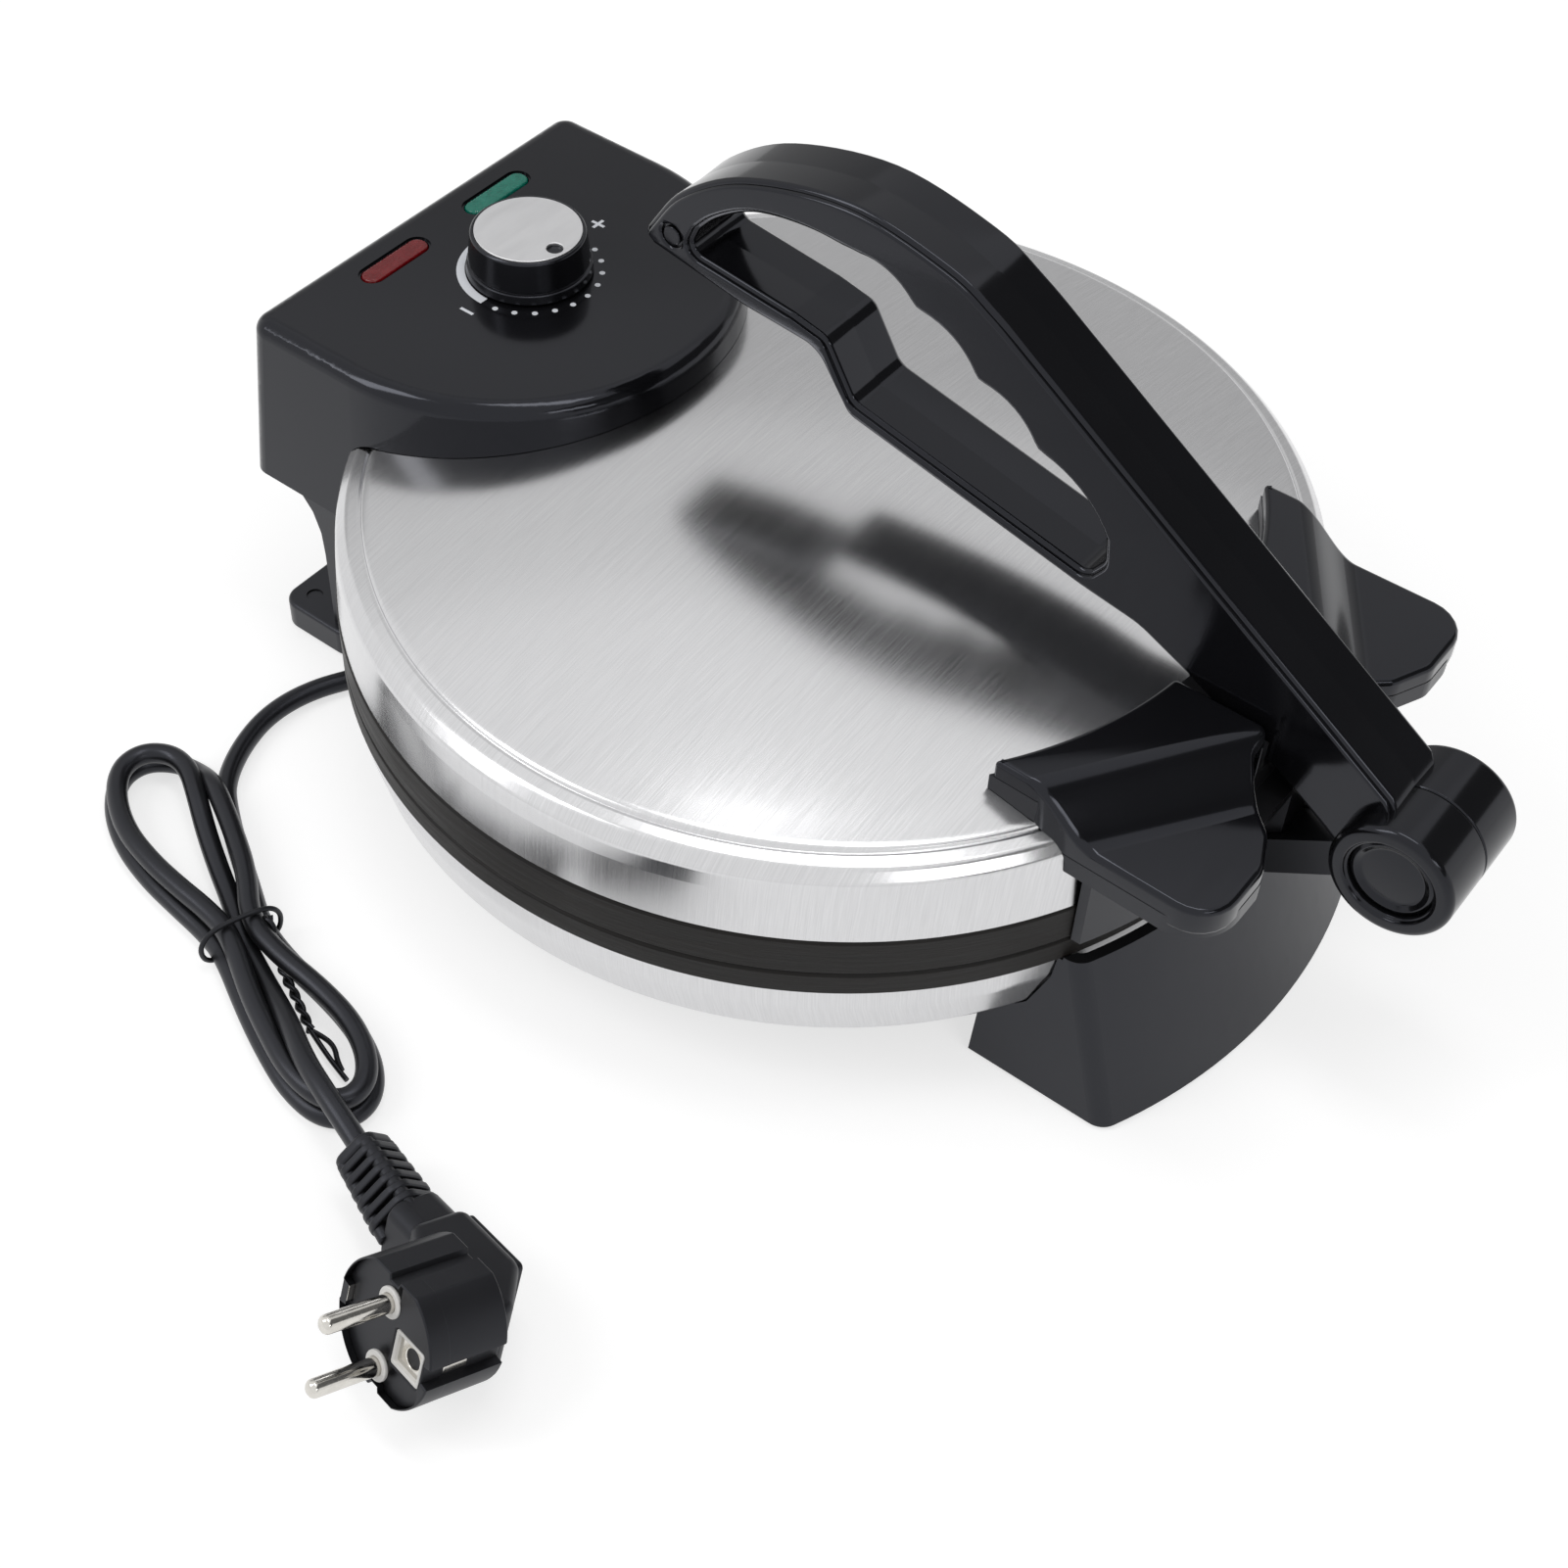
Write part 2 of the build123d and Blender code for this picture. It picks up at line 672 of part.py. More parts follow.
screw_radius = 1.5
for screw_x in (-flange_screw_x, flange_screw_x):
    hole = post(screw_x, flange_screw_y, 0, cover_top_z + 0.01, screw_radius)
    parts["hinge_bracket"] -= hole
    parts["bottom_cover"] -= hole
parts["base_screws"] = base_screws()


# lid: shell and plate
parts["upper_rim"] = rim(upper_split_z, upper_rim_top_z, -1)
parts["upper_plate"] = plate(upper_split_z, -1)
parts["upper_heating_element"] = element(upper_back_z, -1)
parts["upper_reflector"] = reflector(upper_reflector_z, -1)
lid_terminals = [terminal_place(side) for side in (-1, 1)]


def lid_shell():
    """Domed steel cover of the lid, open below, with holes for the heater's wires."""
    shell = lid_solid(0, upper_rim_top_z) - lid_solid(-steel_wall, upper_rim_top_z)
    for x, y in lid_terminals:
        shell -= post(x, y, shoulder_z, dome_top_z, 4.0)
    return shell


parts["lid_shell"] = lid_shell()


# lid: control box
def box_plan(z, inset, corner):
    """Outline of the control box at a height: straight front, round end over the dome."""
    spread = (box_top_z - z) * tan(radians(box_draft)) - inset
    half = box_half_top + spread
    front = box_front_top_y - spread
    edges = [Line((half, box_round_y), (half, front)), Line((half, front), (-half, front)),
             Line((-half, front), (-half, box_round_y)),
             ThreePointArc((-half, box_round_y), (0, box_round_y + half), (half, box_round_y))]
    face = make_face(Wire(edges))
    return fillet(face.vertices().sort_by(Axis.Y)[:2], corner)


def box_body(inset, z_low, z_high, edge):
    """Tapered body with the box's outline and a rounded upper edge."""
    corner = box_corner - inset / 2
    body = loft([Pos(0, 0, z) * box_plan(z, inset, corner) for z in (z_low, z_high)])
    return fillet(body.edges().group_by(Axis.Z)[-1], edge)


def stadium(x, y, z_low, z_high, length, width):
    """Upright prism with a stadium outline lying along x."""
    return Pos(x, y, z_low) * extrude(SlotOverall(length, width), z_high - z_low)


def dial_marks():
    """Shallow scale round the knob: eleven dots, a tapering crescent and end signs."""
    z = box_top_z - dial_mark_depth
    marks = Part()
    for k in range(11):
        x, y = polar(dot_circle, 13 + 16 * k)
        marks += post(x, dial_y + y, z, box_top_z, dot_radius)
    outer = Circle(dot_circle + 0.3)
    inner = Pos(-1.4, 0) * Circle(dot_circle - 1.1)
    half = Pos(0, -dot_circle) * Rectangle(3 * dot_circle, 2 * dot_circle)
    marks += Pos(0, dial_y, z) * extrude((outer - inner) & half, dial_mark_depth)
    for x, y, up in ((26.0, dial_y - 0.6, False), (-29.0, dial_y + 0.8, True)):
        bar = Pos(x, y) * Rectangle(1.0, 4.6)
        sign = bar + Pos(x, y) * Rectangle(4.6, 1.0) if up else bar
        marks += Pos(0, 0, z) * extrude(sign, dial_mark_depth)
    return marks


def control_box():
    """Moulded box on the front of the lid, shaped to the dome where it lies on it."""
    box = box_body(0, box_bottom_z, box_top_z, box_edge)
    box -= box_body(box_wall, box_bottom_z, box_roof_z, box_edge - 2.0)
    box -= lid_envelope
    box -= rim_envelope
    box -= post(0, dial_y, box_roof_z, box_top_z, shaft_radius + 4 * pin_gap)
    for side in (-1, 1):
        box -= stadium(side * lens_x, lens_y, box_roof_z, box_top_z,
                       lens_length + 2 * pin_gap, lens_width + 2 * pin_gap)
        box -= stadium(side * lens_x, lens_y, box_top_z - 0.6, box_top_z,
                       lens_length + 1.4, lens_width + 1.4)
    return box - dial_marks()


def control_box_tray():
    """Floor of the control box in front of the lid, with a wall along the lid's skirt."""
    room = box_body(box_wall + seat_gap, box_bottom_z, box_roof_z, box_edge - 2.0)
    floor_top = box_bottom_z + tray_thick
    side = 2 * box_half_top
    floor = room & block(-side, side, 2 * box_front_y, box_round_y + side, box_bottom_z, floor_top)
    inner = rim_radius + fit_gap
    floor -= post(0, 0, box_bottom_z, floor_top, inner)
    fence_top = shoulder_z + 2.5
    fence = turned([(inner, box_bottom_z), (inner + tray_fence, box_bottom_z),
                    (inner + tray_fence, fence_top), (inner, fence_top)])
    return floor + (fence & room)


parts["control_box"] = control_box()
parts["dial_marks"] = dial_marks()
parts["control_box_tray"] = control_box_tray()


def lens(side):
    """Translucent lamp window with a flange under the box's roof and fine ribs below."""
    z_low = box_roof_z - 2.4
    body = stadium(side * lens_x, lens_y, z_low, box_top_z - 0.7, lens_length, lens_width)
    body += stadium(side * lens_x, lens_y, z_low, box_roof_z,
                    lens_length + 2 * lens_flange, lens_width + 2 * lens_flange)
    for i in range(-8, 9):
        x = side * lens_x + i * 1.2
        body -= block(x - 0.3, x + 0.3, lens_y - 2.6, lens_y + 2.6, z_low, z_low + 0.9)
    return body


parts["red_lens"] = lens(1)
parts["green_lens"] = lens(-1)


def lamp_holder(side):
    """Post on the tray with a shelf under one lamp."""
    x = side * lens_x
    front_y = lens_y - 8.2
    shelf_z = lamp_z - lamp_radius
    foot = block(x - 5, x + 5, front_y, lens_y - 1.8, box_bottom_z + tray_thick, shelf_z - 2)
    shelf = block(x - 8, x + 8, front_y, lens_y + 2.8, shelf_z - 2, shelf_z)
    return foot + shelf


parts["lamp_holders"] = Compound([lamp_holder(side) for side in (-1, 1)])
parts["neon_lamps"] = Compound([cross_pin(lens_y, lamp_z, s * lens_x - lamp_length / 2,
                                          s * lens_x + lamp_length / 2, lamp_radius) for s in (-1, 1)])
thermostat = post(0, dial_y, thermostat_low_z, box_roof_z, thermostat_radius)
thermostat -= post(0, dial_y, thermostat_low_z + 2, box_roof_z, shaft_radius + running_gap)
parts["thermostat"] = thermostat


def lid_wires():
    """Wires from the upper heater's terminals through the dome to the thermostat."""
    runs = []
    z_tip = upper_back_z + element_radius + running_gap + terminal_length
    z_run = thermostat_low_z + 5.6
    for x, y in lid_terminals:
        side = 1 if x > 0 else -1
        x_end = side * (thermostat_radius + running_gap)
        runs.append(wire_run([(x, y, z_tip + running_gap), (x, y, z_run), (x, dial_y, z_run),
                              (x_end, dial_y, z_run)], wire_radius, 3.0))
    return Compound(runs)


parts["lid_wires"] = lid_wires()


# lid: rear bracket
def wing_plan(inset):
    """Outline of the rear bracket: an arc across the lid and two lobes behind."""
    front_half = wing_half - wing_side_draft
    corner_y = sqrt(wing_front_radius**2 - front_half**2)
    right = [(front_half, corner_y), (wing_half, wing_rear_y), (wing_half - 23.4, wing_rear_y),
             (wing_half - 34.4, wing_rear_y - 5.0), (wing_slot_half + 3.4, wing_rear_y - 15.0),
             (wing_slot_half, wing_rear_y - 18.0)]
    left = [(-x, y) for x, y in reversed(right)]
    edges = [ThreePointArc(left[-1], (0, wing_front_radius), right[0]),
             *Polyline(*right, *left).edges()]
    face = make_face(Wire(edges))
    corners = [v for v in face.vertices() if v.Y > wing_rear_y - 1 and abs(v.X) > wing_half - 7]
    face = fillet(corners, wing_corner)
    soft = [v for v in face.vertices()
            if wing_half - 37 < abs(v.X) < wing_half - 17 and v.Y > wing_rear_y - 11]
    face = fillet(soft, 6.0)
    return offset(face, -inset) if inset else face


def slot_floor(y):
    """Height of the slot that the lever lies in, at a distance behind the plates' axis."""
    return hinge_z + slot_rise - (y - slot_front_y) * slot_slope


below_z = upper_rim_top_z - 9.5
above_z = hinge_z + 67.0
before_y = wing_front_radius / 2
behind_y = hinge_y + 16.5


def wing_slab(z_low, z_high, half=2 * wing_half):
    """Block across the rear bracket between two heights."""
    return block(-half, half, before_y, behind_y, z_low, z_high)


def lobe_region(gap):
    """Prism above the two lobes, behind the slanting step."""
    rise = step_slope * wing_half
    side = wing_half + 10
    side_y = step_side_y - 10 * step_slope + gap
    points = [(0, step_side_y + rise + gap), (side, side_y), (side, behind_y), (-side, behind_y),
              (-side, side_y)]
    return Pos(0, 0, below_z) * extrude(make_face(Polyline(*points, close=True)), above_z - below_z)


def wing_block(inset, drop):
    """The whole rear bracket as a solid, shrunk by a wall and lowered by a roof."""
    body = Pos(0, 0, below_z) * extrude(wing_plan(inset), wing_top_z - drop - below_z)
    high = body - lobe_region(-inset)
    low = body & wing_slab(below_z, wing_low_z - drop)
    return high + low


def lever_slot(half):
    """Cut for the lever, open behind and above a sloping floor."""
    y_low = slot_front_y - 3.4
    y_high = slot_front_y + 34.6
    points = [(y_low, above_z), (y_low, slot_floor(y_low)), (y_high, slot_floor(y_high)), (y_high, above_z)]
    return side_prism(side_polygon(points), -half, half)


def cover_region():
    """Everything above the parting line of the rear bracket."""
    upper = wing_slab(wing_top_z - wing_cover_thick, above_z)
    lower = wing_slab(wing_low_z - wing_cover_thick, above_z) & lobe_region(-box_wall)
    core = wing_slab(below_z, wing_top_z - wing_cover_thick, lever_slot_half + box_wall)
    return upper + lower - core


whole_wing = wing_block(0, 0)
hollow_wing = wing_block(box_wall, box_wall) & wing_slab(wing_bottom_z + box_wall, above_z)
hollow_wing -= wing_slab(below_z, above_z, lever_slot_half + box_wall)


def wing_cover():
    """Upper moulding of the rear bracket."""
    cover = (whole_wing & cover_region()) - hollow_wing
    cover -= lever_slot(lever_slot_half)
    cover -= lid_envelope
    return cover


def wing_housing():
    """Lower moulding of the rear bracket, shaped to the lid, with skirts behind the rim."""
    housing = whole_wing - cover_region() - hollow_wing
    housing &= wing_slab(wing_bottom_z, above_z)
    housing -= lever_slot(lever_slot_half)
    inner = rim_radius + skirt_gap
    outer = inner + skirt_thick
    z_high = wing_bottom_z + 1
    skirt = turned([(inner, upper_split_z), (outer, upper_split_z), (outer, z_high), (inner, z_high)])
    for side in (-1, 1):
        x_low, x_high = sorted((side * (wing_half - 37.4), side * (wing_half - 4.4)))
        housing += skirt & block(x_low, x_high, before_y, behind_y, upper_split_z, z_high)
    return housing - lid_envelope


parts["wing_cover"] = wing_cover()
parts["wing_housing"] = wing_housing()
arm_flange_half = 28.0
arm_flange_thick = 3.0
arm_screw_x = 24.0
arm_screw_y = (arm_front_y + arm_rear_y) / 2 - pin_gap


def lid_arm():
    """Steel arm from the axle, through the base's channel, to a flange under the wings."""
    slope = atan2(hinge_z - bar_low_z, hinge_y - bar_low_y)
    nx, nz = -sin(slope), cos(slope)
    low = bar_half_thick - bracket_wall - arm_side_gap
    flange_z = wing_bottom_z - arm_flange_thick
    tongue = side_polygon([(hinge_y + nx * 5, hinge_z + nz * 5), (arm_rear_y, bar_low_z + 9.2),
                           (arm_rear_y, flange_z + 1), (arm_front_y, flange_z + 1),
                           (arm_front_y, bar_low_z + 7.6), (bar_low_y - 2.0, bar_low_z + 1.8),
                           (bar_low_y + 2.5, bar_low_z - 0.4),
                           (hinge_y - nx * low, hinge_z - nz * low)])
    arm = side_prism(tongue, -arm_half, arm_half)
    arm += cross_pin(hinge_y, hinge_z, -arm_half, arm_half, hub_eye_radius - 0.2)
    arm -= cross_pin(hinge_y, hinge_z, -arm_half, arm_half, axle_radius + running_gap)
    arm += block(-arm_flange_half, arm_flange_half, arm_front_y, arm_rear_y, flange_z, wing_bottom_z)
    for x in (-arm_screw_x, arm_screw_x):
        arm -= post(x, arm_screw_y, flange_z, wing_bottom_z, screw_radius)
    return arm


parts["lid_arm"] = lid_arm()


def lid_screws():
    """Short screws up through the arm's flange, and long ones through the reflector."""
    flange_z = wing_bottom_z - arm_flange_thick
    screws = [screw(x, arm_screw_y, flange_z, arm_flange_thick + 2.4, screw_radius)
              for x in (-arm_screw_x, arm_screw_x)]
    for x, y in ring_of(boss_count, boss_circle):
        z_head = upper_reflector_z + reflector_thick
        screws.append(screw(x, y, z_head, boss_bore_depth - 1.0, screw_radius, up=False))
    return Compound(screws)


for screw_x in (-arm_screw_x, arm_screw_x):
    parts["wing_housing"] -= post(screw_x, arm_screw_y, wing_bottom_z, wing_bottom_z + 2.5, screw_radius)
parts["lid_screws"] = lid_screws()


# dial
def knob():
    """Round knob, hollow below, with a seat for its metal cap."""
    band = [Circle(knob_radius_foot), Pos(0, 0, knob_band) * Circle(knob_radius_foot - 0.4)]
    side = [Circle(knob_radius_foot - 0.9), Pos(0, 0, knob_height - knob_band) * Circle(knob_radius_top)]
    body = Pos(0, dial_y, knob_low_z) * loft(band)
    body += Pos(0, dial_y, knob_low_z + knob_band) * loft(side)
    body = fillet(body.edges().group_by(Axis.Z)[-1], 0.6)
    hollow_z = knob_top_z - 6.0
    body -= post(0, dial_y, knob_low_z, hollow_z, knob_radius_top - 2.4)
    body += post(0, dial_y, knob_low_z, hollow_z, shaft_radius + 2.5)
    body -= post(0, dial_y, knob_low_z, shaft_top_z, shaft_radius)
    body -= post(0, dial_y, knob_top_z - knob_cap_thick, knob_top_z, knob_cap_radius)
    return body


def knob_cap():
    """Metal disc on the knob with a pointer dimple."""
    cap = post(0, dial_y, knob_top_z - knob_cap_thick, knob_top_z + 0.2, knob_cap_radius - running_gap)
    x, y = polar(dimple_offset, 80.0)
    return cap - post(x, dial_y + y, knob_top_z - knob_cap_thick, knob_top_z + 1, dimple_radius)


shaft_top_z = knob_top_z - 5.0
parts["knob"] = knob()
parts["knob_cap"] = knob_cap()
parts["thermostat_shaft"] = post(0, dial_y, thermostat_low_z + 3, shaft_top_z, shaft_radius)


# lever
def from_axle(points):
    """Side-view points given from the axle, in front of it and above it."""
    return [(hinge_y - front, hinge_z + up) for front, up in points]


lever_top = [from_axle([(241.0, 78.4), (229.9, 93.4), (209.5, 106.4)]),
             from_axle([(209.5, 106.4), (178.5, 113.5), (148.7, 108.9)]),
             from_axle([(148.7, 108.9), (133.3, 101.7), (117.6, 91.7)])]
lever_tip = from_axle([(239.0, 73.6), (241.2, 75.7), (241.0, 78.4)])
lever_low = from_axle([(4.1, 16.8), (0.0, 0.0), (15.0, -5.6), (18.2, -3.6), (34.6, 6.9), (68.1, 25.0),
                       (82.1, 31.5), (99.5, 34.3), (167.9, 49.0), (175.6, 51.6), (181.6, 60.6),
                       (188.0, 66.2), (208.2, 68.0), (239.0, 73.6)])
finger_low = from_axle([(95.9, 53.6), (95.2, 46.1), (99.5, 40.7), (106.3, 40.9), (171.5, 55.3),
                        (175.2, 60.7), (181.1, 69.6), (187.5, 72.9), (220.7, 76.6), (225.9, 78.6),
                        (227.3, 82.2), (223.0, 87.1), (209.1, 96.4), (201.8, 98.9), (188.3, 100.9),
                        (176.5, 100.0)])
scallop_cusps = from_axle([(176.5, 100.0), (156.7, 92.5), (137.2, 80.6), (118.2, 69.0), (95.9, 53.6)])
scallop_rise = 3.4


def lever_outline():
    """Side view of the lever without its hub."""
    edges = [ThreePointArc(*points) for points in lever_top]
    edges.append(Line(lever_top[-1][-1], lever_low[0]))
    edges.extend(Polyline(*lever_low).edges())
    edges.append(ThreePointArc(*lever_tip))
    return make_face(Wire(edges))


def finger_hole():
    """Side view of the opening for the fingers, with scallops along its upper edge."""
    edges = []
    for (y0, z0), (y1, z1) in zip(scallop_cusps, scallop_cusps[1:]):
        run = hypot(y1 - y0, z1 - z0)
        mid_y = (y0 + y1) / 2 - (z1 - z0) / run * scallop_rise
        mid_z = (z0 + z1) / 2 + (y1 - y0) / run * scallop_rise
        edges.append(ThreePointArc((y0, z0), (mid_y, mid_z), (y1, z1)))
    edges.extend(Polyline(*finger_low).edges())
    return make_face(Wire(edges))


barrel_slot_start = 190.0
barrel_slot_end = 341.5


def barrel_slot():
    """Sector cut through the hub for the hinge bracket and the lid's arm."""
    start = barrel_slot_start
    step = (barrel_slot_end - start) / 6
    reach = 2 * hub_radius - 4.0
    rim_points = [(hinge_y + reach * cos(radians(start + step * i)),
                   hinge_z + reach * sin(radians(start + step * i))) for i in range(7)]
    half = hub_web_in - fit_gap
    return side_prism(side_polygon([(hinge_y, hinge_z)] + rim_points), -half, half)


lever_bosses = from_axle([(232.0, 79.6), (180.5, 107.0), (87.5, 53.0), (43.5, 29.0)])
lever_screw_radius = 1.4
lever_boss_radius = 3.6
lever_head_radius = 2.6
lever_plug_radius = 3.2
lever_plug_depth = 2.4


def lever_shell(side):
    """One half of the lever, split down its middle, with its half of the hub."""
    outer = lever_outline()
    opening = finger_hole()
    body = side_prism(outer - opening, 0, lever_half)
    cavity = offset(outer, -lever_wall) - offset(opening, lever_wall, kind=Kind.INTERSECTION)
    body -= side_prism(cavity, 0, lever_half - lever_wall)
    for y, z in lever_bosses:
        body += cross_pin(y, z, 0, lever_half - 1.2, lever_boss_radius)
        body -= cross_pin(y, z, 0, lever_half - 3, lever_screw_radius)
    hub = cross_pin(hinge_y, hinge_z, 0, hub_half, hub_radius)
    body += fillet(hub.edges().sort_by(Axis.X)[-1], hub_edge)
    body -= cross_pin(hinge_y, hinge_z, 0, hub_web_in, hub_radius - hub_wall)
    body -= cross_pin(hinge_y, hinge_z, 0, hub_web_out, axle_radius + running_gap)
    body -= cross_pin(hinge_y, hinge_z, hub_web_out, hub_half, hub_cap_radius + pin_gap)
    if side < 0:
        body = mirror(body, Plane.YZ)
        for y, z in lever_bosses:
            body -= cross_pin(y, z, -lever_half, 0, lever_screw_radius)
            body -= cross_pin(y, z, -lever_half, -lever_half + 2.0, lever_head_radius + 0.2)
    else:
        y, z = lever_bosses[0]
        body -= cross_pin(y, z, lever_half - lever_plug_depth, lever_half, lever_plug_radius + pin_gap)
    return body - barrel_slot()


parts["lever_right_shell"] = lever_shell(1)
parts["lever_left_shell"] = lever_shell(-1)


def hub_cap(side):
    """Slightly domed disc that closes one end of the hub."""
    disc = cross_pin(hinge_y, hinge_z, hub_web_out, hub_web_out + hub_cap_thick, hub_cap_radius)
    disc = fillet(disc.edges().sort_by(Axis.X)[-1], 1.2)
    return disc if side > 0 else mirror(disc, Plane.YZ)


parts["hub_cap_right"] = hub_cap(1)
parts["hub_cap_left"] = hub_cap(-1)
parts["lever_plug"] = cross_pin(*lever_bosses[0], lever_half - lever_plug_depth,
                                lever_half + 0.2, lever_plug_radius)


def lever_core():
    """Flat steel bar that stiffens the lever inside its halves."""
    depth = 7.0
    y_low, z_low = from_axle([(83.5, 50.5)])[0]
    y_high = y_low + 34.0
    (y0, z0), (y1, z1) = lever_top[-1][-1], lever_low[0]
    z_high = z_low + (z1 - z0) / (y1 - y0) * (y_high - y_low)
    outline = side_polygon([(y_low, z_low), (y_high, z_high), (y_high, z_high - depth),
                            (y_low, z_low - depth)])
    half = lever_half - lever_wall - pin_gap
    return side_prism(outline, -half, half)


parts["lever_core"] = lever_core()


def lever_screws():
    """Screws across the lever from its left side."""
    screws = []
    for y, z in lever_bosses:
        shank = cross_pin(y, z, -lever_half + 2.0, lever_half - 3.2, lever_screw_radius)
        head = cross_pin(y, z, -lever_half + 0.4, -lever_half + 2.0, lever_head_radius)
        screws.append(shank + head)
    return Compound(screws)


parts["lever_screws"] = lever_screws()


# mains lead
cord_route = [(20.1, -88.3, 15.0), (32.3, -95.2, 13.6), (46.2, -103.0, 7.6), (60.1, -110.8, 4.0),
              (74.1, -118.7, cord_radius), (88.0, -126.5, cord_radius), (103.0, -129.0, cord_radius),
              (118.0, -125.5, cord_radius), (131.0, -118.5, cord_radius)]


def cord_tube(route):
    """Round cord along straight runs with the largest arcs that they allow."""
    points = [Vector(*p) for p in route]
    radii = []
    for before, here, after in zip(points, points[1:], points[2:]):
        turn = (here - before).get_angle(after - here)
        shorter = min((here - before).length, (after - here).length)
        radii.append(0.45 * shorter / tan(radians(turn / 2)))
    print("cord radii", [round(r, 1) for r in radii])
    path = FilletPolyline(*points, radius=radii)
    tube = sweep(Plane(origin=path @ 0, z_dir=path % 0) * Circle(cord_radius), path)
    print("cord length", round(path.length, 1), "volume ratio",
          round(tube.volume / (pi * cord_radius**2 * path.length), 4))
    return tube


parts["power_cord"] = cord_tube(cord_route)


def cord_gland():
    """Tapered sleeve under the base that the lead comes out of, on a block."""
    start, following = Vector(*cord_route[0]), Vector(*cord_route[1])
    way = (following - start).normalized()
    back = start - way * gland_length
    sleeve = Plane(origin=back, z_dir=way) * Pos(0, 0, gland_length / 2) * Cone(
        gland_radius_high, gland_radius_low, gland_length)
    seat = block(back.X - 7, back.X + 9, back.Y - 8, back.Y + 8, back.Z - 7, cover_bottom_z)
    return sleeve + seat


parts["cord_gland"] = cord_gland()
hank_outline = [(129.6, -124.5), (130.0, -135.0), (134.5, -144.0), (142.7, -147.5), (153.5, -145.0),
                (162.0, -137.6), (169.0, -124.4), (172.8, -109.2), (175.0, -93.5), (177.2, -81.5),
                (181.6, -68.5), (187.4, -56.2), (194.2, -40.8), (198.7, -27.5), (200.3, -15.5),
                (197.5, -7.2), (190.0, -4.4), (180.0, -8.5), (171.6, -17.0), (166.3, -28.8),
                (163.2, -43.0), (160.7, -58.3), (156.5, -71.5), (149.0, -85.5), (141.2, -98.6),
                (133.0, -113.0)]
tie_frame = Location((168.7, -71.5, 0), (0, 0, -14))
tie_inner_width = 24.0


def tie_box(grow, z_low, z_high, width):
    """Box across the hank at its tie."""
    size = Box(tie_inner_width + 2 * grow, width, z_high - z_low)
    return tie_frame * Pos(0, 0, (z_low + z_high) / 2) * size


def cord_hank():
    """Outer shape of the lead's tied bundle, with a waist for its tie."""
    curve = Spline(*hank_outline, periodic=True)
    hank = extrude(make_face(curve), hank_height)
    hank -= tie_box(20, 0, hank_height, tie_width)
    hank += tie_box(0, tie_wall, hank_height, tie_width)
    return hank


def cord_tie():
    """Plastic strap round the waist of the bundle, with its end lying on top."""
    band = tie_box(tie_wall, 0, hank_height + tie_wall, tie_width - 0.4)
    band -= tie_box(0, tie_wall, hank_height, tie_width)
    z = hank_height + 1.0
    tail = FilletPolyline((170.0, -69.5, z), (171.2, -56.0, z), (177.5, -42.0, z), (181.5, -27.0, z),
                          radius=12)
    return band + sweep(Plane(origin=tail @ 0, z_dir=tail % 0) * Circle(1.0), tail)


parts["cord_hank"] = cord_hank()
parts["cord_tie"] = cord_tie()
pin_way = Vector(0.8903, -0.2428, 0.3852).normalized()
pin_row = Vector(0.4092, 0.0557, -0.9107)
pin_row = (pin_row - pin_way * pin_row.dot(pin_way)).normalized()
plug_face = Plane(origin=(241.5, 52.4, 28.0), x_dir=pin_row, z_dir=pin_way)
relief_root = Vector(0, -neck_length + 2, -relief_depth)
relief_way = Vector(*relief_tip) - relief_root
clip_width = 4.6
clip_thick = 1.4
clip_length = 13.0
collar_radius = 4.2
collar_thick = 1.4
pin_seat = 8.0


def plug_body():
    """Angled earthed plug: round face, squarer back, a neck and a sleeve along the lead."""
    body = Pos(0, 0, -plug_face_thick / 2) * Cylinder(plug_radius, plug_face_thick)
    body = fillet(body.edges().group_by(Axis.Z)[-1], 1.5)
    back = loft([Pos(0, 0, -plug_face_thick) * RectangleRounded(33.0, 34.0, 12.0),
                 Pos(0, -6, -plug_depth) * RectangleRounded(25.0, 28.0, 8.0)])
    neck = Pos(0, -neck_length / 2, -relief_depth) * Rot(90, 0, 0) * extrude(
        RectangleRounded(17.0, 14.0, 5.0), neck_length / 2, both=True)
    sleeve = Plane(origin=relief_root, z_dir=relief_way) * Pos(0, 0, relief_way.length / 2) * Cone(
        7.0, 5.4, relief_way.length)
    body += back + neck + sleeve
    for side in (-1, 1):
        body -= Pos(side * pin_spacing / 2, 0, -pin_seat / 2) * Cylinder(pin_radius, pin_seat)
        body -= Pos(0, side * (plug_radius - clip_thick / 2), -clip_length / 2) * Box(
            clip_width, clip_thick, clip_length)
        body -= Pos(side * plug_radius, 0, -clip_length / 2) * Box(3.0, 5.6, clip_length)
    return body


def plug_details():
    """Pins, their collars and the two earth clips, in the plug's own frame."""
    pins, collars, clips = [], [], []
    for side in (-1, 1):
        x = side * pin_spacing / 2
        pin = Pos(x, 0, (pin_length - pin_seat) / 2) * Cylinder(pin_radius, pin_length + pin_seat)
        pins.append(fillet(pin.edges().group_by(Axis.Z)[-1], 1.6))
        collar = Cylinder(collar_radius, collar_thick) - Cylinder(pin_radius, collar_thick)
        collars.append(Pos(x, 0, collar_thick / 2) * collar)
        clips.append(Pos(0, side * (plug_radius - clip_thick / 2), -clip_length / 2)
                     * Box(clip_width, clip_thick, clip_length))
    return pins, collars, clips


